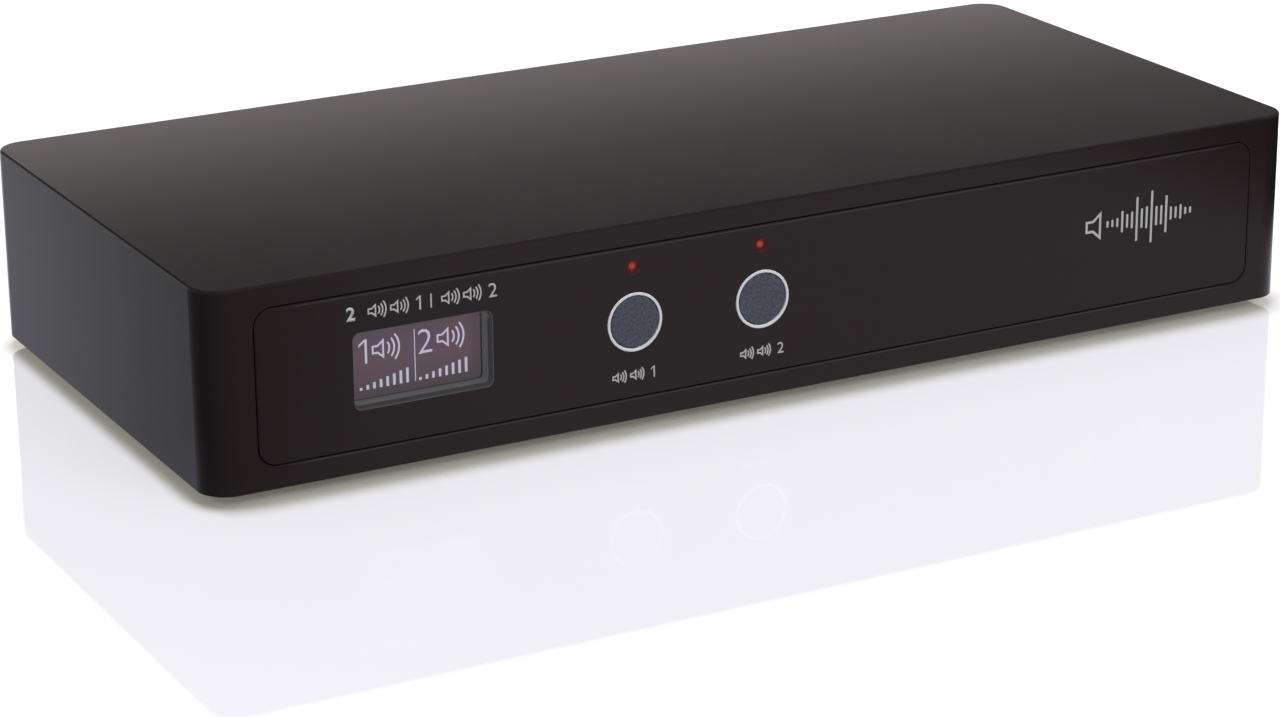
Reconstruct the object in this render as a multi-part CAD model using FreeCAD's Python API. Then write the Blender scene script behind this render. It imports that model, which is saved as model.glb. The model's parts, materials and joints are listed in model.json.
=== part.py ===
"""Two-zone speaker selector switch: a low black case with a display, two buttons and plug-in terminals.

The frame is in millimetres. +Z is up and the controls face -Y. The origin is on the surface that the
feet stand on, under the middle of the whole switch, terminal plugs included. A "depth" is a distance
behind the front face of the case, and a "rise" is a height above the underside of the case.
"""

import FreeCAD, Part
import math
import os

V = FreeCAD.Vector

# Case
body_width = 200.0
body_depth = 92.5
body_height = 32.5
corner_radius = 5.0
top_edge_round = 0.4
front_wall = 3.0
side_wall = 2.2
rear_wall = 2.2
top_wall = 2.2
seam_gap = 0.15  # round the base plate
cut_over = 1.0  # how far a cutting tool runs past the face that it cuts

# Base plate and feet
base_thickness = 2.0
base_rim = 1.1  # wall that is left outside the base plate
foot_radius = 5.0
foot_height = 2.0
foot_bevel = 0.6
foot_side_inset = 22.0
foot_end_inset = 15.0

# Case screws, countersunk from below into bosses in the case corners
case_boss_radius = 3.5
case_boss_inset = 8.2
case_screw_radius = 1.48
case_screw_head_radius = 2.9
case_screw_head_height = 1.6
case_screw_length = 10.0
thread_gap = 0.04
thread_end_room = 0.6  # left in a blind hole past the tip of its screw
screw_hole_gap = 0.15
cross_slot_width = 0.9
cross_slot_depth = 0.9
cross_slot_share = 0.62  # of the head's radius

# Fascia, let into the front wall
fascia_side_margin = 8.3
fascia_edge_margin = 3.8
fascia_thickness = 1.0
fascia_radius = 3.0
fascia_groove = 0.16
fascia_bevel = 0.12

# Display, placed from the fascia's left-hand edge
display_offset = 27.6
window_width = 23.6
window_height = 12.5
window_radius = 1.3
window_ledge = 0.5
lens_gap = 0.05
lens_bevel = 0.1
gasket_thickness = 1.2
gasket_lip = 0.3
gasket_band = 1.4
glass_width = 26.7
glass_height = 19.26
glass_thickness = 1.45
glass_drop = 2.1  # from the middle of the lit area down to the middle of the glass
carrier_wall = 1.0
carrier_gap = 0.1
carrier_ledge = 1.6

# Zone buttons and the lamps over them
button_offset = 64.15
button_pitch = 23.13
zone_count = 2
ring_radius = 4.87
ring_band = 0.49
ring_proud = 0.1
ring_gap = 0.03
ring_bevel = 0.08
button_gap = 0.1
button_edge_round = 0.25
button_flange_reach = 1.1  # past the edge of the button's hole
button_flange_thickness = 0.8
button_rest_gap = 0.05
button_stem_radius = 2.2
button_stem_height = 0.15
button_travel = 0.3
lamp_rise = 9.0
lamp_radius = 1.1
lamp_hole_gap = 0.1
lamp_recess = 0.6
lamp_flange_radius = 1.5
lamp_flange_thickness = 0.8
lamp_lead_side = 0.5
lamp_lead_pitch = 1.6

# Tactile switches behind the buttons
tact_side = 6.0
tact_body_height = 3.5
tact_height = 5.0
tact_cover = 0.5
tact_cavity_radius = 2.4
tact_floor = 1.1
plunger_radius = 1.75
plunger_gap = 0.1
plunger_flange_radius = 2.25
plunger_flange_thickness = 0.7
dome_radius = 2.3
dome_pressed_rise = 0.2
dome_thickness = 0.1
contact_gap = 0.05

# Front circuit board, on bosses behind the front wall
board_thickness = 1.6
front_board_right_reach = 18.4  # past the last button, or past the link if that ends further right
front_board_foot_rise = 4.25
front_board_lamp_reach = 3.0  # from the lamps to the board's top edge
front_boss_radius = 2.8
front_boss_inset = 3.2
front_boss_gap = 0.65  # from the display's carrier to the bosses beside it
front_boss_rise_inset = 2.9

# Main circuit board, on pillars of the base plate
main_board_side_gap = 14.0
main_board_front_depth = 14.0
main_board_rear_gap = 0.5
pillar_height = 4.0
pillar_radius = 3.0
pillar_side_inset = 6.0
pillar_front_inset = 6.0
pillar_rear_inset = 14.0

# Board screws
board_screw_radius = 1.48
board_screw_head_radius = 2.7
board_screw_head_height = 1.8
board_screw_bite = 3.4

# Link between the two boards
link_pins = 8
link_pin_spacing = 2.54
link_pin_side = 0.64
link_block = 2.54
link_offset = 4.0
link_tail = 1.6
lead_hole_gap = 0.1

# Parts on the main board
relay_count = 4
relay_width = 12.7
relay_length = 29.0
relay_height = 15.7
relay_pitch = 17.0
relay_end_inset = 48.0  # from the case's left end to the first relay
relay_depth = 50.0
relay_bevel = 0.8
radio_end_inset = 38.0  # from the case's right end, as for the next three
radio_depth = 38.0
radio_width = 18.0
radio_length = 25.5
radio_board_thickness = 0.8
radio_can_height = 2.3
radio_can_inset = 1.1
radio_can_length = 17.6
capacitor_count = 2
capacitor_radius = 4.0
capacitor_height = 11.5
capacitor_end_inset = 68.0
capacitor_depth = 32.0
capacitor_pitch = 12.0
capacitor_groove = 0.4

# Power socket
power_end_inset = 20.0
power_width = 8.94
power_height = 3.26
power_length = 7.35
power_skin = 0.3
power_recess = 0.4
power_back = 1.6
power_tongue_width = 6.7
power_tongue_thickness = 0.7
power_tongue_length = 4.6
power_cutout_gap = 0.35
oval_flat = 0.01  # half of the straight edge left at each end of an oval

# Terminal blocks: a header on the main board and a plug with screw clamps, for each speaker circuit
input_end_inset = 56.0
zone_1_spacing = 40.0  # from the input's terminals to zone 1's
zone_2_spacing = 36.0  # from zone 1's terminals to zone 2's
poles = 4
pole_pitch = 5.08
header_wall = 1.2
header_back = 2.0
header_length = 11.5
header_proud = 0.5
header_cutout_gap = 0.2
pin_side = 1.0
pin_tip_gap = 1.0  # from a pin's tip to the web of its contact
pin_tail = 1.4
pin_behind = 1.2
mating_height = 6.6
mating_end_gap = 1.0  # from the plug's nose to the header's back wall
mating_inset = 0.7
mating_gap = 0.12
plug_seat_gap = 0.1
plug_height = 14.5
plug_length = 10.5
plug_drop_gap = 0.3
plug_round = 0.5
chamber_width = 4.0
chamber_floor = 1.2
funnel_width = 3.8
funnel_height = 3.9
funnel_radius = 0.5
throat_width = 2.7
throat_height = 2.7
throat_radius = 0.3
funnel_rise = 3.6
cage_gap = 0.15
cage_end_gap = 0.2
cage_length = 4.6
cage_floor = 0.9
cage_window_width = 2.5
cage_window_height = 3.4
cage_head = 1.7
clamp_travel = 2.4
clamp_screw_radius = 1.5
clamp_screw_head_radius = 1.95
clamp_screw_head_height = 1.5
clamp_screw_seat = 1.4  # above the chamber
clamp_screw_gap = 0.15
clamp_thread_gap = 0.05
clamp_slot_width = 0.8
clamp_slot_depth = 0.8
tongue_thickness = 0.8
contact_width = 1.8
contact_side_gap = 0.2
blade_thickness = 0.4
web_length = 1.0

# Places that follow from the sizes above
front_y = (ring_proud - body_depth - header_proud - plug_seat_gap - plug_length) / 2
rear_y = front_y + body_depth
under_z = foot_height
top_z = under_z + body_height
middle_rise = body_height / 2
front_board_top_rise = middle_rise + lamp_rise + front_board_lamp_reach
fascia_width = body_width - 2 * fascia_side_margin
fascia_height = body_height - 2 * fascia_edge_margin
fascia_left = -fascia_width / 2
display_x = fascia_left + display_offset
button_xs = [fascia_left + button_offset + n * button_pitch for n in range(zone_count)]
ring_inner_radius = ring_radius - ring_band
button_flange_radius = ring_inner_radius + button_flange_reach
glass_depth = front_wall + gasket_thickness
plunger_tip_depth = front_wall + button_rest_gap + button_flange_thickness + button_stem_height
dome_rise = button_travel + dome_pressed_rise
front_board_depth = plunger_tip_depth + tact_height
carrier_half_width = glass_width / 2 + carrier_gap + carrier_wall
front_boss_left_x = display_x - carrier_half_width - front_boss_gap - front_boss_radius
front_board_left = front_boss_left_x - front_boss_inset
link_xs = [button_xs[0] + link_offset + n * link_pin_spacing for n in range(link_pins)]
front_board_right = max(button_xs[-1], link_xs[-1]) + front_board_right_reach
front_boss_right_x = front_board_right - front_boss_inset
main_board_bottom = base_thickness + pillar_height
main_board_top = main_board_bottom + board_thickness
main_board_rear_depth = body_depth - rear_wall - main_board_rear_gap
half_board = body_width / 2 - main_board_side_gap
relay_x = relay_end_inset - body_width / 2
radio_x = body_width / 2 - radio_end_inset
capacitor_x = body_width / 2 - capacitor_end_inset
power_x = body_width / 2 - power_end_inset
input_x = body_width / 2 - input_end_inset
zone_1_x = input_x - zone_1_spacing
zone_2_x = zone_1_x - zone_2_spacing
circuits = {"input": input_x, "zone_1": zone_1_x, "zone_2": zone_2_x}
plug_width = poles * pole_pitch
mating_width = plug_width - 2 * mating_inset
mating_length = header_length - header_back - mating_end_gap
header_inner_width = mating_width + 2 * mating_gap
header_inner_height = mating_height + 2 * mating_gap
header_width = header_inner_width + 2 * header_wall
header_height = header_inner_height + 2 * header_wall
pin_rise = main_board_top + header_height / 2
mouth_y = rear_y + header_proud
plug_y = mouth_y + plug_seat_gap
plug_rise = main_board_top + plug_drop_gap
clamp_y = plug_y + plug_length / 2
tongue_top = chamber_floor + cage_gap + cage_floor + cage_window_height - contact_gap
cage_width = chamber_width - 2 * cage_gap
chamber_length = cage_length + 2 * cage_end_gap
cage_height = cage_floor + cage_window_height + cage_head
chamber_ceiling = chamber_floor + cage_height + clamp_travel + 2 * cage_gap
clamp_seat = chamber_ceiling + clamp_screw_seat


# ---------------------------------------------------------------- helpers
def depth_y(depth):
    """The Y of a point this far behind the front face."""
    return front_y + depth


def rise_z(rise):
    """The Z of a point this far above the case's underside."""
    return under_z + rise


def block(x, depth, rise, size_x, size_y, size_z):
    """A box centred on x, from a depth backwards and from a rise upwards."""
    return Part.makeBox(size_x, size_y, size_z, V(x - size_x / 2, depth_y(depth), rise_z(rise)))


def rounded_wire(width, height, radius, place):
    """A rounded rectangle about 0, 0, each point put into space by place(u, v)."""
    half_w, half_h = width / 2, height / 2
    lean = radius * (1 - math.cos(math.pi / 4))
    edges = []
    for turn in range(4):
        along = (half_w, half_h) if turn % 2 == 0 else (half_h, half_w)

        def at(u, v, quarter=turn):
            for _ in range(quarter):
                u, v = -v, u
            return place(u, v)

        a, b = along
        edges.append(Part.makeLine(at(a, -b + radius), at(a, b - radius)))
        edges.append(Part.Arc(at(a, b - radius), at(a - lean, b - lean), at(a - radius, b)).toShape())
    return Part.Wire(edges)


def wire_facing_front(x, depth, rise, width, height, radius):
    """A rounded rectangle that lies in a plane of constant Y."""
    return rounded_wire(width, height, radius, lambda u, v: V(x + u, depth_y(depth), rise_z(rise) + v))


def plate_facing_front(x, depth, rise, width, height, radius, thickness):
    """A rounded plate whose face looks forwards, centred on x and rise."""
    wire = wire_facing_front(x, depth, rise, width, height, radius)
    return Part.Face(wire).extrude(V(0, thickness, 0))


def lofted_facing_front(x, rise, sections):
    """A solid through rounded rectangles, each given as depth, width, height and radius."""
    wires = [wire_facing_front(x, depth, rise, w, h, r) for depth, w, h, r in sections]
    return Part.makeLoft(wires, True, True)


def lying_plate(depth, rise, width, length, radius, thickness):
    """A rounded plate that lies flat, centred on X, from a depth backwards."""
    middle_y = depth_y(depth) + length / 2
    wire = rounded_wire(width, length, radius, lambda u, v: V(u, middle_y + v, rise_z(rise)))
    return Part.Face(wire).extrude(V(0, 0, thickness))


def turned(points, origin, axis, outward):
    """A solid of revolution. Each point is a radius and a distance along the axis from the origin."""
    places = [origin + outward * radius + axis * along for radius, along in points]
    face = Part.Face(Part.makePolygon(places + [places[0]]))
    return face.revolve(origin, axis, 360)


def turned_from_front(points, x, rise):
    """A solid of revolution about an axis along Y. Each point is a radius and a depth."""
    return turned(points, V(x, front_y, rise_z(rise)), V(0, 1, 0), V(1, 0, 0))


def turned_upright(points, x, y):
    """A solid of revolution about an upright axis. Each point is a radius and a rise."""
    return turned(points, V(x, y, under_z), V(0, 0, 1), V(1, 0, 0))


def rod_from_front(radius, x, rise, depth, length):
    """A cylinder along Y."""
    return Part.makeCylinder(radius, length, V(x, depth_y(depth), rise_z(rise)), V(0, 1, 0))


def upright_rod(radius, x, y, rise, length):
    """A cylinder along Z."""
    return Part.makeCylinder(radius, length, V(x, y, rise_z(rise)), V(0, 0, 1))


def joined(shapes):
    """One solid out of shapes that touch or overlap."""
    first, rest = shapes[0], shapes[1:]
    return first.fuse(rest).removeSplitter() if rest else first


def edges_where(shape, test):
    """The edges whose every vertex passes a test."""
    return [edge for edge in shape.Edges if all(test(vertex.Point) for vertex in edge.Vertexes)]


def same(a, b):
    """Whether two lengths are equal, within rounding."""
    return abs(a - b) < 1e-6


def corner_reach(side):
    """The distance from the middle of a square to its corners."""
    return math.hypot(side, side) / 2


def save(name, shapes):
    """Writes one node, whose solids stay separate."""
    solids = [solid for shape in shapes for solid in shape.Solids]
    Part.makeCompound(solids).exportStep(os.path.join("parts", name + ".step"))


# ---------------------------------------------------------------- case
def case_screw_places():
    """X and Y of the four case screws."""
    x = body_width / 2 - case_boss_inset
    return [(sx * x, y) for sx in (-1, 1) for y in (front_y + case_boss_inset, rear_y - case_boss_inset)]


def front_screw_places():
    """X and rise of the four screws that hold the front board."""
    rises = (front_board_foot_rise + front_boss_rise_inset, front_board_top_rise - front_boss_rise_inset)
    xs = (front_boss_left_x, front_boss_right_x)
    return [(x, rise) for x in xs for rise in rises]


def housing_shell():
    """Top and four walls in one moulding, with bosses inside and an opening for each control and socket."""
    shell = lying_plate(0, 0, body_width, body_depth, corner_radius, body_height)
    top_edges = edges_where(shell, lambda p: same(p.z, top_z))
    shell = shell.makeFillet(top_edge_round, top_edges)

    inner_width = body_width - 2 * side_wall
    inner_depth = body_depth - front_wall - rear_wall
    inner_radius = corner_radius - side_wall
    inner_height = body_height - top_wall
    shell = shell.cut(
        lying_plate(front_wall, -cut_over, inner_width, inner_depth, inner_radius, inner_height + cut_over)
    )
    shell = shell.cut(
        lying_plate(
            base_rim, -cut_over, body_width - 2 * base_rim, body_depth - 2 * base_rim,
            corner_radius - base_rim, base_thickness + cut_over,
        )
    )
    shell = shell.fuse(case_bosses()).fuse(front_board_bosses())

    recess_width = fascia_width + 2 * fascia_groove
    recess_height = fascia_height + 2 * fascia_groove
    recess_radius = fascia_radius + fascia_groove
    flare = 2 * fascia_bevel
    shell = shell.cut(
        lofted_facing_front(0, middle_rise, [
            (0, recess_width + flare, recess_height + flare, recess_radius + fascia_bevel),
            (fascia_bevel, recess_width, recess_height, recess_radius),
            (fascia_thickness, recess_width, recess_height, recess_radius),
        ])
    )
    shell = shell.cut(front_openings()).cut(rear_openings())
    return [shell.removeSplitter()]


def case_bosses():
    """Pillars in the corners that the case screws bite into."""
    length = body_height - top_wall - base_thickness + top_edge_round
    bosses = []
    for x, y in case_screw_places():
        boss = upright_rod(case_boss_radius, x, y, base_thickness, length)
        pilot = upright_rod(case_screw_radius + thread_gap, x, y, 0, case_screw_length + thread_end_room)
        bosses.append(boss.cut(pilot))
    return bosses


def front_board_bosses():
    """Pillars behind the front wall that carry the front board."""
    bosses = []
    length = front_board_depth - fascia_thickness
    for x, rise in front_screw_places():
        boss = rod_from_front(front_boss_radius, x, rise, fascia_thickness, length)
        bite = board_screw_bite + thread_end_room
        pilot = rod_from_front(board_screw_radius + thread_gap, x, rise, front_board_depth - bite, bite)
        bosses.append(boss.cut(pilot))
    return bosses


def front_openings():
    """Tools for the window, the button holes and the lamp holes in the front wall."""
    tools = [
        plate_facing_front(
            display_x, 0, middle_rise, window_width - 2 * window_ledge, window_height - 2 * window_ledge,
            window_radius - window_ledge, front_wall + cut_over,
        )
    ]
    for x in button_xs:
        tools.append(rod_from_front(ring_inner_radius, x, middle_rise, 0, front_wall + cut_over))
        hole = lamp_radius + lamp_hole_gap
        tools.append(rod_from_front(hole, x, middle_rise + lamp_rise, 0, front_wall + cut_over))
    return tools


def rear_openings():
    """Tools for the three headers and the power socket in the rear wall."""
    depth = body_depth - rear_wall - cut_over
    length = rear_wall + 2 * cut_over
    tools = []
    for x in circuits.values():
        tools.append(
            block(
                x, depth, main_board_top - header_cutout_gap,
                header_width + 2 * header_cutout_gap, length, header_height + 2 * header_cutout_gap,
            )
        )
    height = power_height + 2 * power_cutout_gap
    width = power_width + 2 * power_cutout_gap
    rise = main_board_top + power_height / 2
    tools.append(plate_facing_front(power_x, depth, rise, width, height, height / 2 - oval_flat, length))
    return tools


def pillar_places():
    """X and depth of the four pillars under the main board."""
    x = half_board - pillar_side_inset
    depths = (main_board_front_depth + pillar_front_inset, main_board_rear_depth - pillar_rear_inset)
    return [(side * x, depth) for side in (-1, 1) for depth in depths]


def base_plate():
    """Plate let into the underside, with the pillars that the main board stands on."""
    rim = base_rim + seam_gap
    plate = lying_plate(
        rim, 0, body_width - 2 * rim, body_depth - 2 * rim, corner_radius - rim, base_thickness
    )
    for x, depth in pillar_places():
        plate = plate.fuse(upright_rod(pillar_radius, x, depth_y(depth), base_thickness, pillar_height))
    for x, depth in pillar_places():
        bite = board_screw_bite + thread_end_room
        hole = board_screw_radius + thread_gap
        plate = plate.cut(upright_rod(hole, x, depth_y(depth), main_board_bottom - bite, bite))
    head = case_screw_head_radius + screw_hole_gap
    hole = case_screw_radius + screw_hole_gap
    neck = case_screw_head_height + screw_hole_gap
    for x, y in case_screw_places():
        profile = [(0, 0), (head, 0), (hole, neck), (hole, base_thickness), (0, base_thickness)]
        plate = plate.cut(turned_upright(profile, x, y))
    return [plate.removeSplitter()]


def crossed(screw, x, y, face_rise, radius, upwards):
    """A screw with a cross cut into its head. The head's face is at face_rise and looks up or down."""
    start = face_rise - cross_slot_depth if upwards else face_rise
    arm = 2 * radius * cross_slot_share
    for size_x, size_y in ((arm, cross_slot_width), (cross_slot_width, arm)):
        corner = V(x - size_x / 2, y - size_y / 2, rise_z(start))
        screw = screw.cut(Part.makeBox(size_x, size_y, cross_slot_depth, corner))
    return screw


def case_screws():
    """Four countersunk screws, driven up through the base plate."""
    screws = []
    for x, y in case_screw_places():
        profile = [
            (0, 0), (case_screw_head_radius, 0), (case_screw_radius, case_screw_head_height),
            (case_screw_radius, case_screw_length), (0, case_screw_length),
        ]
        screws.append(crossed(turned_upright(profile, x, y), x, y, 0, case_screw_head_radius, False))
    return screws


def rubber_feet():
    """Four round feet stuck under the base plate."""
    feet = []
    for side in (-1, 1):
        for y in (front_y + foot_end_inset, rear_y - foot_end_inset):
            profile = [
                (0, -foot_height), (foot_radius - foot_bevel, -foot_height),
                (foot_radius, foot_bevel - foot_height), (foot_radius, 0), (0, 0),
            ]
            feet.append(turned_upright(profile, side * (body_width / 2 - foot_side_inset), y))
    return feet


# ---------------------------------------------------------------- fascia and display
def fascia_panel():
    """Thin panel glued into the front wall, with holes for the window, the rings and the lamps."""
    bevel = fascia_bevel
    panel = lofted_facing_front(0, middle_rise, [
        (0, fascia_width - 2 * bevel, fascia_height - 2 * bevel, fascia_radius - bevel),
        (bevel, fascia_width, fascia_height, fascia_radius),
        (fascia_thickness, fascia_width, fascia_height, fascia_radius),
    ])
    tools = [
        plate_facing_front(
            display_x, 0, middle_rise, window_width, window_height, window_radius, fascia_thickness
        )
    ]
    for x in button_xs:
        tools.append(rod_from_front(ring_radius + ring_gap, x, middle_rise, 0, fascia_thickness))
        tools.append(
            rod_from_front(lamp_radius + lamp_hole_gap, x, middle_rise + lamp_rise, 0, fascia_thickness)
        )
    return [panel.cut(tools)]


def display_lens():
    """Clear window, flush with the fascia and seated on a ledge of the front wall."""
    width = window_width - 2 * lens_gap
    height = window_height - 2 * lens_gap
    radius = window_radius - lens_gap
    bevel = lens_bevel
    return [
        lofted_facing_front(display_x, middle_rise, [
            (0, width - 2 * bevel, height - 2 * bevel, radius - bevel),
            (bevel, width, height, radius),
            (fascia_thickness, width, height, radius),
        ])
    ]


def display_gasket():
    """Foam frame between the front wall and the display's glass."""
    width = window_width - 2 * window_ledge + 2 * gasket_lip
    height = window_height - 2 * window_ledge + 2 * gasket_lip
    outer = plate_facing_front(
        display_x, front_wall, middle_rise, width + 2 * gasket_band, height + 2 * gasket_band,
        window_radius, gasket_thickness,
    )
    hole = plate_facing_front(
        display_x, front_wall, middle_rise, width, height, window_radius - window_ledge, gasket_thickness
    )
    return [outer.cut(hole)]


def display_glass():
    """Display panel. Its lit area is centred on the window, and its driver end hangs below."""
    return [
        block(
            display_x, glass_depth, middle_rise - glass_drop - glass_height / 2,
            glass_width, glass_thickness, glass_height,
        )
    ]


def display_carrier():
    """Moulded frame that holds the glass off the front board, open at its foot for the display's tail."""
    depth = glass_depth + glass_thickness / 2
    length = front_board_depth - depth
    rise = middle_rise - glass_drop - glass_height / 2
    height = glass_height + carrier_gap + carrier_wall
    frame = block(display_x, depth, rise, 2 * carrier_half_width, length, height)
    pocket = block(
        display_x, depth, rise,
        glass_width + 2 * carrier_gap, glass_thickness / 2, glass_height + carrier_gap,
    )
    hollow = block(
        display_x, depth, rise + carrier_ledge,
        glass_width - 2 * carrier_ledge, length, glass_height - 2 * carrier_ledge,
    )
    return [frame.cut([pocket, hollow])]


# ---------------------------------------------------------------- buttons and lamps
def button_ring(x):
    """Light ring round a button, pressed into the fascia."""
    return turned_from_front([
        (ring_inner_radius, fascia_thickness),
        (ring_inner_radius, ring_bevel - ring_proud),
        (ring_inner_radius + ring_bevel, -ring_proud),
        (ring_radius - ring_bevel, -ring_proud),
        (ring_radius, ring_bevel - ring_proud),
        (ring_radius, fascia_thickness),
    ], x, middle_rise)


def zone_button(x):
    """Round button with a flange that stops behind the front wall and a stem on the switch."""
    radius = ring_inner_radius - button_gap
    flange = front_wall + button_rest_gap
    cap = turned_from_front([
        (0, 0), (radius, 0), (radius, flange), (button_flange_radius, flange),
        (button_flange_radius, flange + button_flange_thickness),
        (button_stem_radius, flange + button_flange_thickness),
        (button_stem_radius, plunger_tip_depth), (0, plunger_tip_depth),
    ], x, middle_rise)
    rim = edges_where(cap, lambda p: same(p.y, front_y) and not same(p.x, x))
    return cap.makeFillet(button_edge_round, rim)


def tact_switch(x):
    """Body of a tactile switch on the front board."""
    face = front_board_depth - tact_body_height
    body = block(x, face, middle_rise - tact_side / 2, tact_side, tact_body_height, tact_side)
    hole = rod_from_front(plunger_radius + plunger_gap, x, middle_rise, face, tact_cover)
    cavity_length = tact_body_height - tact_cover - tact_floor
    cavity = rod_from_front(tact_cavity_radius, x, middle_rise, face + tact_cover, cavity_length)
    return body.cut([hole, cavity])


def dome_base_depth():
    """Depth of the floor that a snap dome stands on."""
    return front_board_depth - tact_floor


def tact_plunger(x):
    """Plunger that a button pushes, kept in its switch by a flange."""
    flange = front_board_depth - tact_body_height + tact_cover + plunger_gap
    end = dome_base_depth() - dome_rise - contact_gap
    return turned_from_front([
        (0, plunger_tip_depth), (plunger_radius, plunger_tip_depth), (plunger_radius, flange),
        (plunger_flange_radius, flange), (plunger_flange_radius, flange + plunger_flange_thickness),
        (plunger_radius, flange + plunger_flange_thickness), (plunger_radius, end), (0, end),
    ], x, middle_rise)


def snap_dome(x):
    """Thin sprung dome that returns the plunger and the button."""
    base = dome_base_depth()
    bend = (dome_radius ** 2 + dome_rise ** 2) / (2 * dome_rise)
    centre = V(x, depth_y(base - dome_rise + bend), rise_z(middle_rise))
    outer = Part.makeSphere(bend, centre)
    inner = Part.makeSphere(bend - dome_thickness, centre)
    slab = rod_from_front(dome_radius, x, middle_rise, base - dome_rise, dome_rise)
    return outer.cut(inner).common(slab)


def indicator_lamp(x):
    """Round-nosed lamp whose nose stands in the hole over a button, with its leads in the front board."""
    rise = middle_rise + lamp_rise
    nose_depth = lamp_recess + lamp_radius
    nose = Part.makeSphere(lamp_radius, V(x, depth_y(nose_depth), rise_z(rise)))
    body = rod_from_front(lamp_radius, x, rise, nose_depth, front_wall - nose_depth)
    collar = rod_from_front(lamp_flange_radius, x, rise, front_wall, lamp_flange_thickness)
    start = front_wall + lamp_flange_thickness
    length = front_board_depth + board_thickness - start
    leads = [
        block(
            x + side * lamp_lead_pitch / 2, start, rise - lamp_lead_side / 2,
            lamp_lead_side, length, lamp_lead_side,
        )
        for side in (-1, 1)
    ]
    return joined([body, nose, collar] + leads)


# ---------------------------------------------------------------- boards
def link_rise():
    """Height of the pins that join the two boards."""
    return main_board_top + link_block / 2


def link_drop_depth():
    """Depth at which those pins turn down into the main board."""
    return main_board_front_depth + link_block + link_pin_side + link_tail


def link_header():
    """Right-angle pins from the front board to the main board, in a plastic strip."""
    strip = block(
        (link_xs[0] + link_xs[-1]) / 2, main_board_front_depth + link_pin_side, main_board_top,
        link_pins * link_pin_spacing, link_block, link_block,
    )
    pins = []
    for x in link_xs:
        run = block(
            x, front_board_depth, link_rise() - link_pin_side / 2,
            link_pin_side, link_drop_depth() + link_pin_side - front_board_depth, link_pin_side,
        )
        bottom = main_board_bottom - link_tail
        drop = block(
            x, link_drop_depth(), bottom,
            link_pin_side, link_pin_side, link_rise() + link_pin_side / 2 - bottom,
        )
        pins.append(joined([run, drop]))
    return [strip.cut(pins)] + pins


def front_board():
    """Upright board that carries the display, the lamps and the tactile switches."""
    width = front_board_right - front_board_left
    centre = (front_board_right + front_board_left) / 2
    foot = front_board_foot_rise
    height = front_board_top_rise - foot
    board = block(centre, front_board_depth, foot, width, board_thickness, height)
    tools = []
    screw_hole = board_screw_radius + screw_hole_gap
    for x, screw_rise in front_screw_places():
        tools.append(rod_from_front(screw_hole, x, screw_rise, front_board_depth, board_thickness))
    pin_hole = corner_reach(link_pin_side) + lead_hole_gap
    for x in link_xs:
        tools.append(rod_from_front(pin_hole, x, link_rise(), front_board_depth, board_thickness))
    lead_hole = corner_reach(lamp_lead_side) + lead_hole_gap
    lead_rise = middle_rise + lamp_rise
    for x in button_xs:
        for side in (-1, 1):
            lead_x = x + side * lamp_lead_pitch / 2
            tools.append(rod_from_front(lead_hole, lead_x, lead_rise, front_board_depth, board_thickness))
    return [board.cut(tools)]


def pole_xs(x):
    """X of each pole of the terminal block centred on x."""
    return [x + (n - (poles - 1) / 2) * pole_pitch for n in range(poles)]


def pin_drop_depth():
    """Depth at which a header's pins turn down into the main board."""
    return body_depth + header_proud - header_length - pin_behind - pin_side


def main_board():
    """Board that carries the relays, the radio module, the headers and the power socket."""
    length = main_board_rear_depth - main_board_front_depth
    board = block(0, main_board_front_depth, main_board_bottom, 2 * half_board, length, board_thickness)
    tools = []
    screw_hole = board_screw_radius + screw_hole_gap
    for x, depth in pillar_places():
        tools.append(upright_rod(screw_hole, x, depth_y(depth), main_board_bottom, board_thickness))
    link_hole = corner_reach(link_pin_side) + lead_hole_gap
    link_y = depth_y(link_drop_depth() + link_pin_side / 2)
    for x in link_xs:
        tools.append(upright_rod(link_hole, x, link_y, main_board_bottom, board_thickness))
    pin_hole = corner_reach(pin_side) + lead_hole_gap
    pin_y = depth_y(pin_drop_depth() + pin_side / 2)
    for circuit_x in circuits.values():
        for x in pole_xs(circuit_x):
            tools.append(upright_rod(pin_hole, x, pin_y, main_board_bottom, board_thickness))
    return [board.cut(tools)]


def board_screws():
    """Eight pan-head screws: four through the main board and four through the front board."""
    head = board_screw_head_radius
    shank = board_screw_radius
    screws = []
    for x, depth in pillar_places():
        y = depth_y(depth)
        face = main_board_top + board_screw_head_height
        tip = main_board_bottom - board_screw_bite
        seat = main_board_top
        profile = [(0, tip), (shank, tip), (shank, seat), (head, seat), (head, face), (0, face)]
        screws.append(crossed(turned_upright(profile, x, y), x, y, face, head, True))
    for x, rise in front_screw_places():
        seat = front_board_depth + board_thickness
        tip = front_board_depth - board_screw_bite
        face = seat + board_screw_head_height
        profile = [(0, tip), (shank, tip), (shank, seat), (head, seat), (head, face), (0, face)]
        screws.append(turned_from_front(profile, x, rise))
    return screws


def relays():
    """Row of relays that switch the speaker circuits."""
    cases = []
    for n in range(relay_count):
        case = block(
            relay_x + n * relay_pitch, relay_depth - relay_length / 2, main_board_top,
            relay_width, relay_length, relay_height,
        )
        top = rise_z(main_board_top + relay_height)
        cases.append(case.makeChamfer(relay_bevel, edges_where(case, lambda p: same(p.z, top))))
    return cases


def radio_module():
    """Small radio board with a metal can over its chips."""
    start = radio_depth - radio_length / 2
    carrier = block(radio_x, start, main_board_top, radio_width, radio_length, radio_board_thickness)
    can = block(
        radio_x, start + radio_length - radio_can_inset - radio_can_length,
        main_board_top + radio_board_thickness,
        radio_width - 2 * radio_can_inset, radio_can_length, radio_can_height,
    )
    return [carrier, can]


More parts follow.
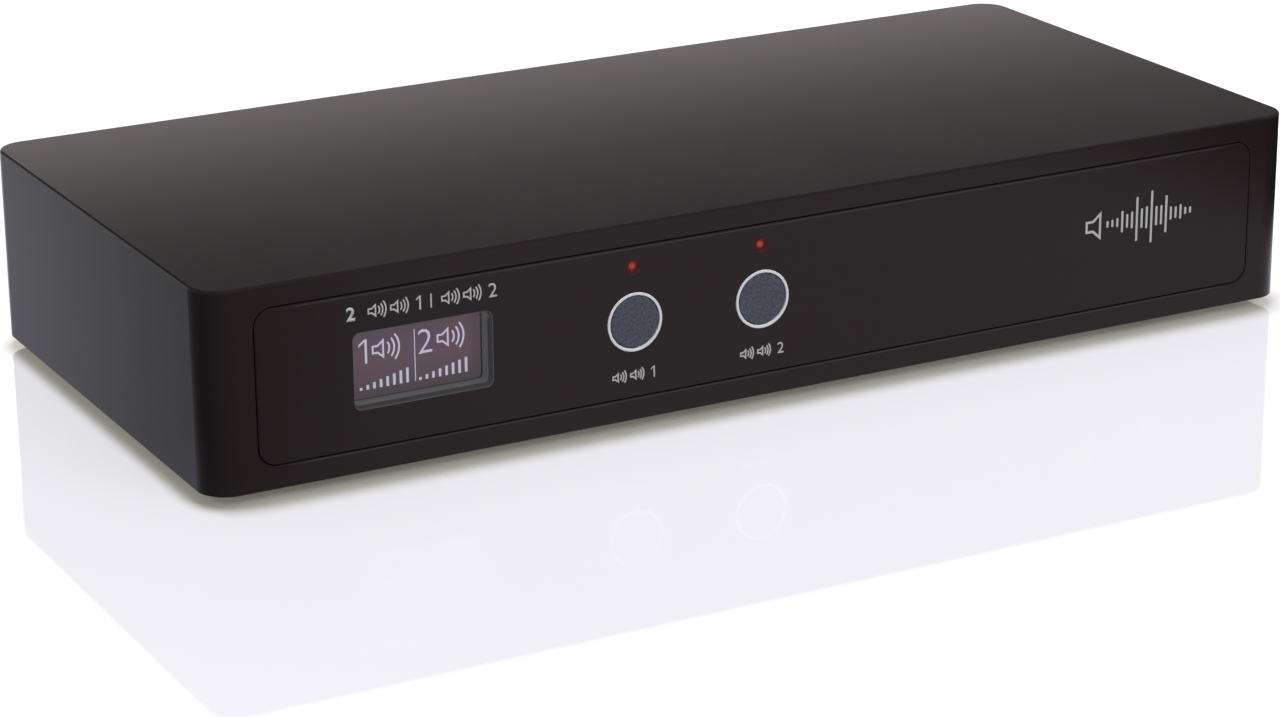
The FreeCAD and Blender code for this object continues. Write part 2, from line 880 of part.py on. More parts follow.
def capacitors():
    """Upright smoothing capacitors with a crimp groove round the foot."""
    cans = []
    for n in range(capacitor_count):
        r, groove = capacitor_radius, capacitor_groove
        foot = main_board_top
        profile = [
            (0, foot), (r, foot), (r, foot + 3 * groove), (r - groove, foot + 4 * groove),
            (r, foot + 5 * groove), (r, foot + capacitor_height - groove),
            (r - groove, foot + capacitor_height), (0, foot + capacitor_height),
        ]
        cans.append(turned_upright(profile, capacitor_x, depth_y(capacitor_depth + n * capacitor_pitch)))
    return cans


def power_socket():
    """Flat oval power socket: a metal skin round a contact tongue."""
    rise = main_board_top + power_height / 2
    start = body_depth - power_recess - power_length
    radius = power_height / 2 - oval_flat
    skin = plate_facing_front(power_x, start, rise, power_width, power_height, radius, power_length)
    inner_width = power_width - 2 * power_skin
    inner_height = power_height - 2 * power_skin
    hollow = plate_facing_front(
        power_x, start + power_back, rise, inner_width, inner_height, radius - power_skin, power_length
    )
    tongue = block(
        power_x, start + power_back, rise - power_tongue_thickness / 2,
        power_tongue_width, power_tongue_length, power_tongue_thickness,
    )
    return [joined([skin.cut(hollow), tongue])]


# ---------------------------------------------------------------- terminal blocks
def header_start():
    """Depth of a header's back face."""
    return body_depth + header_proud - header_length


def header_pins(x):
    """Bent pins of one header, each through its back wall and down into the main board."""
    pins = []
    for pole_x in pole_xs(x):
        start = pin_drop_depth()
        reach = mouth_y - front_y - web_length - pin_tip_gap
        run = block(pole_x, start, pin_rise - pin_side / 2, pin_side, reach - start, pin_side)
        bottom = main_board_bottom - pin_tail
        drop = block(pole_x, start, bottom, pin_side, pin_side, pin_rise + pin_side / 2 - bottom)
        pins.append(joined([run, drop]))
    return pins


def terminal_header(x):
    """Open shroud on the main board that a terminal plug pushes into."""
    shroud = block(x, header_start(), main_board_top, header_width, header_length, header_height)
    cavity = block(
        x, header_start() + header_back, main_board_top + header_wall,
        header_inner_width, header_length, header_inner_height,
    )
    return [shroud.cut([cavity] + header_pins(x))]


def funnel(pole_x):
    """Tapered wire entry from the rear of a plug into its clamp chamber."""
    back = plug_y + plug_length - front_y
    wall = (plug_length - chamber_length) / 2
    return lofted_facing_front(pole_x, plug_rise + funnel_rise, [
        (back - wall, throat_width, throat_height, throat_radius),
        (back, funnel_width, funnel_height, funnel_radius),
    ])


def terminal_plug(x):
    """Plug body: a clamp chamber, a wire entry, a screw hole and a contact slot for each pole."""
    y_depth = plug_y - front_y
    body = block(x, y_depth, plug_rise, plug_width, plug_length, plug_height)
    top = rise_z(plug_rise + plug_height)
    back = plug_y + plug_length
    top_edges = edges_where(body, lambda p: same(p.z, top))
    back_edges = edges_where(body, lambda p: same(p.y, back) and not same(p.z, top))
    body = body.makeFillet(plug_round, top_edges + back_edges)
    mating = block(
        x, y_depth - plug_seat_gap - mating_length, pin_rise - mating_height / 2,
        mating_width, mating_length + plug_seat_gap, mating_height,
    )
    body = joined([body, mating])
    chamber_depth = y_depth + (plug_length - chamber_length) / 2
    slot_width = contact_width + 2 * contact_side_gap
    slot_top = plug_rise + tongue_top + contact_side_gap
    slot_bottom = pin_rise - pin_side / 2 - contact_gap - blade_thickness - contact_side_gap
    tools = []
    for pole_x in pole_xs(x):
        tools.append(
            block(
                pole_x, chamber_depth, plug_rise + chamber_floor,
                chamber_width, chamber_length, chamber_ceiling - chamber_floor,
            )
        )
        tools.append(
            block(
                pole_x, y_depth - plug_seat_gap - mating_length, slot_bottom, slot_width,
                chamber_depth - y_depth + plug_seat_gap + mating_length, slot_top - slot_bottom,
            )
        )
        shank = clamp_screw_radius + clamp_screw_gap
        tools.append(
            upright_rod(shank, pole_x, clamp_y, plug_rise + chamber_ceiling, clamp_screw_seat)
        )
        head = clamp_screw_head_radius + clamp_screw_gap
        tools.append(upright_rod(head, pole_x, clamp_y, plug_rise + clamp_seat, plug_height - clamp_seat))
        tools.append(funnel(pole_x))
    return [body.cut(tools)]


def plug_contacts(x):
    """Contacts of one plug: a fork that grips a header pin, and a tongue that a wire is clamped against."""
    lower = pin_rise - pin_side / 2 - contact_gap - blade_thickness
    upper = pin_rise + pin_side / 2 + contact_gap
    tongue_rise = plug_rise + tongue_top - tongue_thickness
    web_end = mouth_y - front_y
    web_start = web_end - web_length
    fork_start = web_end - mating_length + web_length / 2
    tongue_length = clamp_y + chamber_length / 2 - contact_side_gap - front_y - web_start
    contacts = []
    for pole_x in pole_xs(x):
        contacts.append(
            joined([
                block(pole_x, fork_start, lower, contact_width, web_end - fork_start, blade_thickness),
                block(pole_x, fork_start, upper, contact_width, web_end - fork_start, blade_thickness),
                block(pole_x, web_start, lower, contact_width, web_length, plug_rise + tongue_top - lower),
                block(pole_x, web_start, tongue_rise, contact_width, tongue_length, tongue_thickness),
            ])
        )
    return contacts


def clamp_screw(pole_x):
    """Slotted screw whose tip stands on the tongue while its thread lifts the cage."""
    tip = plug_rise + tongue_top + contact_gap
    seat = plug_rise + clamp_seat
    face = seat + clamp_screw_head_height
    screw = turned_upright([
        (0, tip), (clamp_screw_radius, tip), (clamp_screw_radius, seat),
        (clamp_screw_head_radius, seat), (clamp_screw_head_radius, face), (0, face),
    ], pole_x, clamp_y)
    corner = V(
        pole_x - clamp_screw_head_radius, clamp_y - clamp_slot_width / 2, rise_z(face - clamp_slot_depth)
    )
    slot = Part.makeBox(2 * clamp_screw_head_radius, clamp_slot_width, clamp_slot_depth, corner)
    return [screw.cut(slot)]


def clamp_cage(pole_x):
    """Square sleeve that rises on its screw and clamps a wire against the tongue."""
    depth = clamp_y - front_y - cage_length / 2
    floor = plug_rise + chamber_floor + cage_gap
    cage = block(pole_x, depth, floor, cage_width, cage_length, cage_height)
    window = block(pole_x, depth, floor + cage_floor, cage_window_width, cage_length, cage_window_height)
    hole = upright_rod(
        clamp_screw_radius + clamp_thread_gap, pole_x, clamp_y, floor + cage_floor, cage_height - cage_floor
    )
    return [cage.cut([window, hole])]


# ---------------------------------------------------------------- the whole switch
def build():
    """Makes every node and writes it."""
    os.makedirs("parts", exist_ok=True)
    save("housing_shell", housing_shell())
    save("base_plate", base_plate())
    save("case_screws", case_screws())
    save("rubber_feet", rubber_feet())
    save("fascia_panel", fascia_panel())
    save("display_lens", display_lens())
    save("display_gasket", display_gasket())
    save("display_glass", display_glass())
    save("display_carrier", display_carrier())
    save("button_rings", [button_ring(x) for x in button_xs])
    for number, x in enumerate(button_xs, start=1):
        save(f"zone_{number}_button", [zone_button(x)])
        save(f"zone_{number}_plunger", [tact_plunger(x)])
        save(f"zone_{number}_dome", [snap_dome(x)])
    save("tact_switches", [tact_switch(x) for x in button_xs])
    save("indicator_leds", [indicator_lamp(x) for x in button_xs])
    save("front_board", front_board())
    save("link_header", link_header())
    save("main_board", main_board())
    save("board_screws", board_screws())
    save("relays", relays())
    save("radio_module", radio_module())
    save("capacitors", capacitors())
    save("power_socket", power_socket())
    save("header_pins", [pin for x in circuits.values() for pin in header_pins(x)])
    for circuit, x in circuits.items():
        save(f"{circuit}_header", terminal_header(x))
        save(f"{circuit}_plug", terminal_plug(x))
        save(f"{circuit}_contacts", plug_contacts(x))
        for pole, pole_x in enumerate(pole_xs(x), start=1):
            save(f"{circuit}_screw_{pole}", clamp_screw(pole_x))
            save(f"{circuit}_cage_{pole}", clamp_cage(pole_x))


build()
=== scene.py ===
"""Dresses a two-zone speaker selector switch round its packed construction.

The construction's own pieces get their finishes here. The printing on the front and the rear, the lit
readout behind the window, the floor, the light and the camera are added. Two snap domes made as thin
sheets take the place of the rigid ones. All lengths are in metres, in the construction's frame: +Z is up
and the controls face -Y.
"""

import json
import logging
import math
from collections.abc import Callable
from dataclasses import dataclass, field
from enum import Enum
from functools import reduce
from typing import Any

import bmesh
import bpy
from mathutils import Matrix, Vector


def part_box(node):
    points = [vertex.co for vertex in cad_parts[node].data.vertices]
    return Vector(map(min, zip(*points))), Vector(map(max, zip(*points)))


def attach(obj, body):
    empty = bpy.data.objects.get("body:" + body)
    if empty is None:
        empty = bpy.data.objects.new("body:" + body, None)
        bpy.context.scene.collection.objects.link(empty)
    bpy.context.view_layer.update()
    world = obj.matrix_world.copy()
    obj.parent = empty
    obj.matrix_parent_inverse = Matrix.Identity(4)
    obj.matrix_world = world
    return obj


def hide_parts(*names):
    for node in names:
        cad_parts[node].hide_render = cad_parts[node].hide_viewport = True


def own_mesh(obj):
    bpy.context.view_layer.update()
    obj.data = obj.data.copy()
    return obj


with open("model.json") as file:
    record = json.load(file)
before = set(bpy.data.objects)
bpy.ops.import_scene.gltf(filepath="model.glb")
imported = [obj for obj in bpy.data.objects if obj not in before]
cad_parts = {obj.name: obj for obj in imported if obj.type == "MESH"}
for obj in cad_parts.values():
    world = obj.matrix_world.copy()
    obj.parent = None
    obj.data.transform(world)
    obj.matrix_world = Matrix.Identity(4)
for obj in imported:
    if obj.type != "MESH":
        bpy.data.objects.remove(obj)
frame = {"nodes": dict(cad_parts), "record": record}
bpy.context.view_layer.update()

MM = 0.001
CASE_BODY = "case"
FLOOR_NAME = "studio_floor"
MERGE_REACH = 0.001 * MM
ZONES = (1, 2)
REAR = 180.0

Pair = tuple[float, float]
Triple = tuple[float, float, float]
Colour = Triple
log = logging.getLogger("switch")


class Slot(Enum):
    """The record's material slots."""

    CASE = "case"
    FASCIA = "fascia"
    WINDOW = "window"
    DISPLAY = "display"
    FOAM = "foam"
    CARRIER = "carrier"
    RING = "ring"
    BUTTON_CAP = "button_cap"
    PLUNGER = "plunger"
    SWITCH_BODY = "switch_body"
    RED_LAMP = "red_lamp"
    CIRCUIT_BOARD = "circuit_board"
    RELAY_CASE = "relay_case"
    CAN_METAL = "can_metal"
    CAPACITOR_SLEEVE = "capacitor_sleeve"
    CONTACT_METAL = "contact_metal"
    TERMINAL_PLASTIC = "terminal_plastic"
    CLAMP_STEEL = "clamp_steel"
    SCREW_STEEL = "screw_steel"
    FOOT_RUBBER = "foot_rubber"


# ---------------------------------------------------------------- shader maths
def operation(kind: str, swapped: bool = False) -> Callable[..., "Wire"]:
    """Makes a method that adds a Math node.

    Args:
        kind: The Math node's operation.
        swapped: Whether the wire itself comes last.

    Returns:
        The method, which takes the node's other values.
    """

    def apply(wire: "Wire", *others: "Wire | float") -> "Wire":
        """Adds the node."""
        values = (*others, wire) if swapped else (wire, *others)
        return wire.graph.node("ShaderNodeMath", {"operation": kind}, dict(enumerate(values)))

    return apply


class Wire:
    """A node's output. Python's arithmetic on it adds Math nodes."""

    __add__ = operation("ADD")
    __radd__ = operation("ADD", swapped=True)
    __sub__ = operation("SUBTRACT")
    __rsub__ = operation("SUBTRACT", swapped=True)
    __mul__ = operation("MULTIPLY")
    __rmul__ = operation("MULTIPLY", swapped=True)
    __pow__ = operation("POWER")
    __abs__ = operation("ABSOLUTE")
    larger = operation("MAXIMUM")
    smaller = operation("MINIMUM")

    def __init__(self, graph: "Graph", socket: bpy.types.NodeSocket) -> None:
        """Wraps an output socket of a graph."""
        self.graph = graph
        self.socket = socket

    def rise(self, low: float, high: float) -> "Wire":
        """A smooth step.

        Args:
            low: Where the step starts at 0.
            high: Where it ends at 1. It may be below low, and then the step falls.

        Returns:
            The step, from 0 to 1.
        """
        return self.graph.node(
            "ShaderNodeMapRange",
            {"interpolation_type": "SMOOTHSTEP"},
            {"Value": self, "From Min": low, "From Max": high},
        )


class Graph:
    """The nodes of a material or of the world."""

    def __init__(self, owner: bpy.types.Material | bpy.types.World) -> None:
        """Takes over and empties the nodes of a material or of the world."""
        owner.use_nodes = True
        self.tree = owner.node_tree
        self.tree.nodes.clear()

    def node(
        self,
        kind: str,
        settings: dict[str, Any] | None = None,
        inputs: dict[int | str, Any] | None = None,
        output: int | str = 0,
    ) -> Wire:
        """Adds a node.

        Args:
            kind: The node's type.
            settings: Its settings, and a ramp's "stops" as pairs of place and colour. They are set first.
            inputs: Values or wires for its sockets, by name or by number.
            output: The name or the number of the output that is wanted.

        Returns:
            That output.
        """
        made = self.tree.nodes.new(kind)
        for name, value in (settings or {}).items():
            setattr(made, name, value)
        for key, value in (inputs or {}).items():
            socket = self.socket(made.inputs, key)
            if isinstance(value, Wire):
                self.tree.links.new(value.socket, socket)
            else:
                socket.default_value = value
        return Wire(self, self.socket(made.outputs, output))

    @staticmethod
    def socket(sockets: Any, key: int | str) -> bpy.types.NodeSocket:
        """The socket with a number, or the socket in use that has a name."""
        if isinstance(key, int):
            return sockets[key]
        return next(socket for socket in sockets if socket.enabled and socket.name == key)

    def place(self) -> Wire:
        """The point on the object, in metres."""
        return self.node("ShaderNodeTexCoord", output="Object")

    def axes(self) -> tuple[Wire, Wire, Wire]:
        """The point's X, Y and Z, in metres."""
        apart = self.node("ShaderNodeSeparateXYZ", inputs={0: self.place()})
        return tuple(Wire(self, output) for output in apart.socket.node.outputs)

    def noise(self, size: float, detail: float = 2.0) -> Wire:
        """Soft noise about 0.

        Args:
            size: The size of its features, in metres.
            detail: How many finer layers it has.

        Returns:
            The noise, from about -0.5 to 0.5.
        """
        wave = self.node(
            "ShaderNodeTexNoise", inputs={"Vector": self.place(), "Scale": 1 / size, "Detail": detail}
        )
        return wave - 0.5

    def blend(self, share: Wire | float, first: Any, second: Any) -> Wire:
        """A colour between two colours."""
        return self.node(
            "ShaderNodeMix",
            {"data_type": "RGBA"},
            {"Factor": share, "A": opaque(first), "B": opaque(second)},
            output="Result",
        )

    def scaled(self, color: Colour | Wire, factor: Wire) -> Wire:
        """A colour made lighter or darker."""
        return self.node("ShaderNodeVectorMath", {"operation": "SCALE"}, {0: color, "Scale": factor})

    def bump(self, height: Wire, depth: float) -> Wire:
        """A normal that follows a height from 0 to 1, which stands for a depth in metres."""
        return self.node("ShaderNodeBump", inputs={"Distance": depth, "Height": height}, output="Normal")

    def surface(self, **values: Any) -> Wire:
        """A Principled shader, whose sockets are named with underscores for spaces."""
        inputs = {key.replace("_", " "): value for key, value in values.items()}
        for key in ("Base Color", "Emission Color", "Specular Tint"):
            if key in inputs:
                inputs[key] = opaque(inputs[key])
        return self.node("ShaderNodeBsdfPrincipled", inputs=inputs)

    def mixed(self, share: Wire | float, first: Wire, second: Wire) -> Wire:
        """A shader between two shaders."""
        return self.node("ShaderNodeMixShader", inputs={0: share, 1: first, 2: second})

    def end(self, kind: str, shader: Wire) -> None:
        """Adds the tree's output node, which has no output of its own, and links a shader to it."""
        made = self.tree.nodes.new(kind)
        self.tree.links.new(shader.socket, made.inputs["Surface"])


def nearest(x: Wire, z: Wire, centres: tuple[Pair, ...]) -> Wire:
    """The distance to the nearest of some upright axes along Y."""
    reaches = [((x - centre_x) ** 2 + (z - centre_z) ** 2) ** 0.5 for centre_x, centre_z in centres]
    return reduce(Wire.smaller, reaches)


def opaque(color: Any) -> Any:
    """A colour with its alpha, or a wire as it is."""
    return color if isinstance(color, Wire) or len(color) == 4 else (*color, 1.0)


# ---------------------------------------------------------------- finishes
@dataclass(frozen=True)
class Finish:
    """A moulded or painted surface: a colour that drifts a little, a fine grain and uneven gloss."""

    name: str
    color: Colour
    roughness: float = 0.45
    specular: float = 0.5
    drift: float = 0.08
    drift_size: float = 14 * MM
    grain: float = 0.05
    grain_size: float = 0.16 * MM
    grain_depth: float = 0.004 * MM
    smudge: float = 0.05
    smudge_size: float = 22 * MM

    def tone(self, graph: Graph) -> Wire:
        """How much lighter or darker each point is than the finish's colour."""
        return 1 + graph.noise(self.drift_size, 3.0) * self.drift + graph.noise(self.grain_size) * self.grain

    def colored(self, graph: Graph) -> Wire:
        """The base colour."""
        return graph.scaled(self.color, self.tone(graph))

    def gloss(self, graph: Graph) -> Wire:
        """The roughness."""
        return self.roughness + graph.noise(self.smudge_size, 4.0) * self.smudge

    def relief(self, graph: Graph) -> Wire:
        """The normal."""
        return graph.bump(graph.noise(self.grain_size, 3.0) + 0.5, self.grain_depth)

    def further(self, graph: Graph) -> dict[str, Any]:
        """The shader's further sockets, where a finish of another kind has any."""
        return {}

    def shader(self, graph: Graph) -> Wire:
        """The shader. A finish of another kind has its own."""
        return graph.surface(
            Base_Color=self.colored(graph),
            Roughness=self.gloss(graph),
            Specular_IOR_Level=self.specular,
            Normal=self.relief(graph),
            **self.further(graph),
        )

    def material(self) -> bpy.types.Material:
        """Makes the material."""
        made = bpy.data.materials.new(self.name)
        graph = Graph(made)
        graph.end("ShaderNodeOutputMaterial", self.shader(graph))
        return made


@dataclass(frozen=True)
class PunchedPlastic(Finish):
    """Moulded plastic with holes in its front, painted light on the walls of the holes and a painted
    highlight under its groove.
    """

    # Painted light: the window's walls are paler and glow as if lit by the display, and the lamps' holes glow
    # red.
    wall_color: Colour = (0.05, 0.053, 0.054)
    wall_glow: Colour = (0.074, 0.078, 0.081)
    lamp_glow: Colour = (0.055, 0.010, 0.009)
    window_middle: Pair = (0.0, 0.0)
    window_half: Pair = (0.0, 0.0)
    lamps: tuple[Pair, ...] = ()
    lamp_reach: float = 1.6 * MM
    lamp_fade: float = 0.1 * MM
    face_y: float = 0.0
    wall_reach: float = 0.6 * MM
    wall_fade: float = 0.05 * MM
    wall_depth: float = 0.03 * MM
    wall_end: float = 4.0 * MM
    seam_depth: float = 1.0 * MM
    seam_width: float = 0.09 * MM
    seam_light: float = 0.75
    # Painted highlight: a paler line under the groove, as if an edge there were lit from above.
    edge_color: Colour = (0.039, 0.034, 0.036)
    edge_z: float = 0.0
    edge_reach: float = 0.18 * MM
    edge_half_length: float = 88 * MM
    edge_fade: float = 4 * MM

    def behind(self, y: Wire) -> Wire:
        """1 on the walls of a hole in the front, and 0 on the outer face and further in."""
        start, end = self.face_y + self.wall_depth, self.face_y + self.wall_end
        return y.rise(start - self.wall_depth / 2, start) * y.rise(end + self.wall_depth, end)

    def edge(self, graph: Graph) -> Wire:
        """1 along the line under the groove that gets a painted highlight, as if lit from above, and 0
        elsewhere.
        """
        x, y, z = graph.axes()
        line = abs(z - self.edge_z).rise(self.edge_reach, 0.0)
        front = y.rise(self.face_y + self.seam_width, self.face_y)
        return line * front * abs(x).rise(self.edge_half_length, self.edge_half_length - self.edge_fade)

    def walls(self, graph: Graph) -> Wire:
        """Where the window's walls get painted light: 1 on the walls, less at the seam between its two
        layers, and 0 elsewhere.
        """
        x, y, z = graph.axes()
        within = self.behind(y)
        for place, middle, half in zip((x, z), self.window_middle, self.window_half):
            end = half + self.wall_reach
            within = within * abs(place - middle).rise(end, end - self.wall_fade)
        seam = abs(y - (self.face_y + self.seam_depth)).rise(0.0, self.seam_width)
        return within * (self.seam_light + seam * (1 - self.seam_light))

    def lamp_walls(self, graph: Graph) -> Wire:
        """Where the lamps' holes get a painted red glow: 1 on their walls, and 0 elsewhere."""
        x, y, z = graph.axes()
        around = nearest(x, z, self.lamps).rise(self.lamp_reach, self.lamp_reach - self.lamp_fade)
        return around * self.behind(y)

    def colored(self, graph: Graph) -> Wire:
        """The base colour, with a painted highlight along the groove's edge and painted paler walls in the
        window.
        """
        # painted highlight along the groove's edge
        highlighted = graph.blend(self.edge(graph), super().colored(graph), self.edge_color)
        # painted light: paler walls in the window
        return graph.blend(self.walls(graph), highlighted, self.wall_color)

    def further(self, graph: Graph) -> dict[str, Any]:
        """A painted glow on the walls of the window and of the lamps' holes, standing in for the display's
        and the lamps' light.
        """
        # painted glow, standing in for the display's light on the window's walls
        painted_wall_light = graph.blend(self.walls(graph), (0.0, 0.0, 0.0), self.wall_glow)
        return {
            "Emission_Color": graph.blend(self.lamp_walls(graph), painted_wall_light, self.lamp_glow),
            "Emission_Strength": 1.0,
        }


@dataclass(frozen=True)
class EdgeLitFoam(Finish):
    """Grey foam with a painted glow that stands in for the display's light."""

    # painted light: the foam's glow stands in for the display's light
    light: Colour = (0.021, 0.022, 0.023)

    def further(self, graph: Graph) -> dict[str, Any]:
        """The painted glow, with the foam's grain."""
        return {"Emission_Color": graph.scaled(self.light, self.tone(graph)), "Emission_Strength": 1.0}


@dataclass(frozen=True)
class SpeckledCap(Finish):
    """A button cap with a fine speckle, paler here and there."""

    speckle: float = 1.5
    speckle_size: float = 0.42 * MM

    def tone(self, graph: Graph) -> Wire:
        """The drift, with speckles."""
        speckles = graph.noise(self.speckle_size, 1.0)
        return super().tone(graph) + speckles * self.speckle


@dataclass(frozen=True)
class PlatedMetal(Finish):
    """Plated metal with fine lines left by rolling."""

    line_size: float = 0.08 * MM
    line_stretch: float = 14.0
    line_share: float = 0.25

    def gloss(self, graph: Graph) -> Wire:
        """The roughness, with fine lines along X."""
        stretched = graph.node(
            "ShaderNodeMapping",
            inputs={"Vector": graph.place(), "Scale": (1 / self.line_stretch, 1.0, 1.0)},
        )
        lines = graph.node(
            "ShaderNodeTexNoise", inputs={"Vector": stretched, "Scale": 1 / self.line_size, "Detail": 2.0}
        )
        return super().gloss(graph) + (lines - 0.5) * self.line_share

    def further(self, graph: Graph) -> dict[str, Any]:
        """A metal's."""
        return {"Metallic": 1.0}


@dataclass(frozen=True)
class CircuitBoard(Finish):
    """Solder mask over copper tracks."""

    track_color: Colour = (0.02, 0.13, 0.06)
    track_pitch: float = 2.54 * MM
    track_length: float = 6 * 2.54 * MM
    track_width: float = 0.5 * MM

    def colored(self, graph: Graph) -> Wire:
        """The mask, paler where a track lies under it."""
        tracks = graph.node(
            "ShaderNodeTexBrick",
            {"offset": 0.5, "squash": 1.0},
            {
                "Vector": graph.place(),
                "Color1": (0, 0, 0, 1),
                "Color2": (0, 0, 0, 1),
                "Mortar": (1, 1, 1, 1),
                "Scale": 1.0,
                "Mortar Size": self.track_width / 2,
                "Brick Width": self.track_length,
                "Row Height": self.track_pitch,
            },
            output="Fac",
        )
        return graph.blend(tracks, super().colored(graph), self.track_color)


@dataclass(frozen=True)
class LitLamp(Finish):
    """A small clear red lamp, lit from within, on bare leads."""

    core_color: Colour = (0.31, 0.026, 0.019)
    edge_color: Colour = (0.035, 0.010, 0.009)
    strength: float = 1.0
    centres: tuple[Pair, ...] = ()
    radius: float = 1.1 * MM
    leads_y: float = 0.0
    leads_fade: float = 0.02 * MM
    leads_color: Colour = (0.62, 0.6, 0.56)

    def shader(self, graph: Graph) -> Wire:
        """Red that glows most near the middle, and plain metal on the leads."""
        x, y, z = graph.axes()
        core = nearest(x, z, self.centres).rise(self.radius, 0.0)
        leads = y.rise(self.leads_y, self.leads_y + self.leads_fade)
        glow = graph.blend(core, self.edge_color, self.core_color)
        return graph.surface(
            Base_Color=graph.blend(leads, super().colored(graph), self.leads_color),
            Metallic=leads,
            Roughness=self.gloss(graph),
            Specular_IOR_Level=self.specular,
            Emission_Color=graph.blend(leads, glow, (0.0, 0.0, 0.0)),
            Emission_Strength=self.strength,
        )


@dataclass(frozen=True)
class DisplayGlass(Finish):
    """Dark glass with a painted reflection: a faint pinkish veil glows on it and drifts across it."""

    # Painted reflection: these glow colours stand in for what the glass reflects.
    warm_color: Colour = (0.122, 0.076, 0.092)
    cool_color: Colour = (0.092, 0.080, 0.102)
    grey_color: Colour = (0.072, 0.067, 0.069)
    veil_size: float = 7 * MM
    veil_contrast: float = 1.6
    grey_edge: Pair = (0.0, 0.0)
    grey_share: float = 0.8

    def further(self, graph: Graph) -> dict[str, Any]:
        """The painted reflection, as a glow: a veil, cooler in patches and greyer towards its foot."""
        _, _, z = graph.axes()
        share = graph.noise(self.veil_size, 1.0) * self.veil_contrast + 0.5
        veil = graph.blend(share, self.warm_color, self.cool_color)
        # painted reflection glowing on the glass
        return {
            "Emission_Color": graph.blend(z.rise(*self.grey_edge) * self.grey_share, veil, self.grey_color),
            "Emission_Strength": 1.0,
        }


@dataclass(frozen=True)
class ClearWindow(Finish):
    """Clear plastic: what lies behind shows through, under a faint reflection."""

    tint: Colour = (0.92, 0.9, 0.91)
    edge_share: float = 0.5
    refraction: float = 1.49

    def shader(self, graph: Graph) -> Wire:
        """See-through, with gloss that grows at a slant."""
        clear = graph.node("ShaderNodeBsdfTransparent", inputs={"Color": opaque(self.tint)})
        shine = graph.surface(
            Base_Color=self.color,
            Roughness=self.gloss(graph),
            Specular_IOR_Level=self.specular,
        )
        slant = graph.node("ShaderNodeFresnel", inputs={"IOR": self.refraction}, output="Fac")
        return graph.mixed(slant * self.edge_share, clear, shine)


@dataclass(frozen=True)
class LitMark(Finish):
    """A mark that a display lights up."""

    strength: float = 1.0
    unlit_color: Colour = (0.02, 0.02, 0.025)

    def shader(self, graph: Graph) -> Wire:
        """An even glow, a little uneven from point to point."""
        return graph.surface(
            Base_Color=self.unlit_color,
            Roughness=self.roughness,
            Emission_Color=graph.scaled(self.color, self.tone(graph)),
            Emission_Strength=self.strength,
        )


# ---------------------------------------------------------------- modelling by hand
def select_only(*pieces: bpy.types.Object) -> None:
    """Leaves just these pieces selected, the first of them active."""
    bpy.ops.object.select_all(action="DESELECT")
    for piece in pieces:
        piece.select_set(True)
    bpy.context.view_layer.objects.active = pieces[0]


def apply_place(piece: bpy.types.Object) -> None:
    """Moves a piece's place, turn and size into its mesh."""
    select_only(piece)
    bpy.ops.object.transform_apply(location=True, rotation=True, scale=True)


class EditMode:
    """Edit mode on one piece, as a with block."""

    def __init__(self, piece: bpy.types.Object, selected: bool = False) -> None:
        """Keeps the piece for the block, which starts with all of its mesh selected or with nothing."""
        self.piece = piece
        self.action = "SELECT" if selected else "DESELECT"

    def __enter__(self) -> bmesh.types.BMesh:
        """Enters edit mode and gives the edit mesh."""
        select_only(self.piece)
        bpy.ops.object.mode_set(mode="EDIT")
        bpy.ops.mesh.select_all(action=self.action)
        return bmesh.from_edit_mesh(self.piece.data)

    def __exit__(self, *problem: Any) -> None:
        """Leaves edit mode."""
        bpy.ops.object.mode_set(mode="OBJECT")


def merge_points(piece: bpy.types.Object) -> None:
    """Merges the points of a mesh that lie on each other, and turns its faces alike."""
    with EditMode(piece, selected=True):
        bpy.ops.mesh.remove_doubles(threshold=MERGE_REACH)
        bpy.ops.mesh.normals_make_consistent(inside=False)


def thicken(piece: bpy.types.Object, thickness: float, side: float) -> None:
    """Gives a sheet a thickness.

    Args:
        piece: The sheet.
        thickness: How thick it becomes.
        side: 1 to grow it the way that its faces look, and -1 to grow it the other way.
    """
    solid = piece.modifiers.new("thickness", "SOLIDIFY")
    solid.thickness = thickness
    solid.offset = side
    select_only(piece)
    bpy.ops.object.modifier_apply(modifier=solid.name)


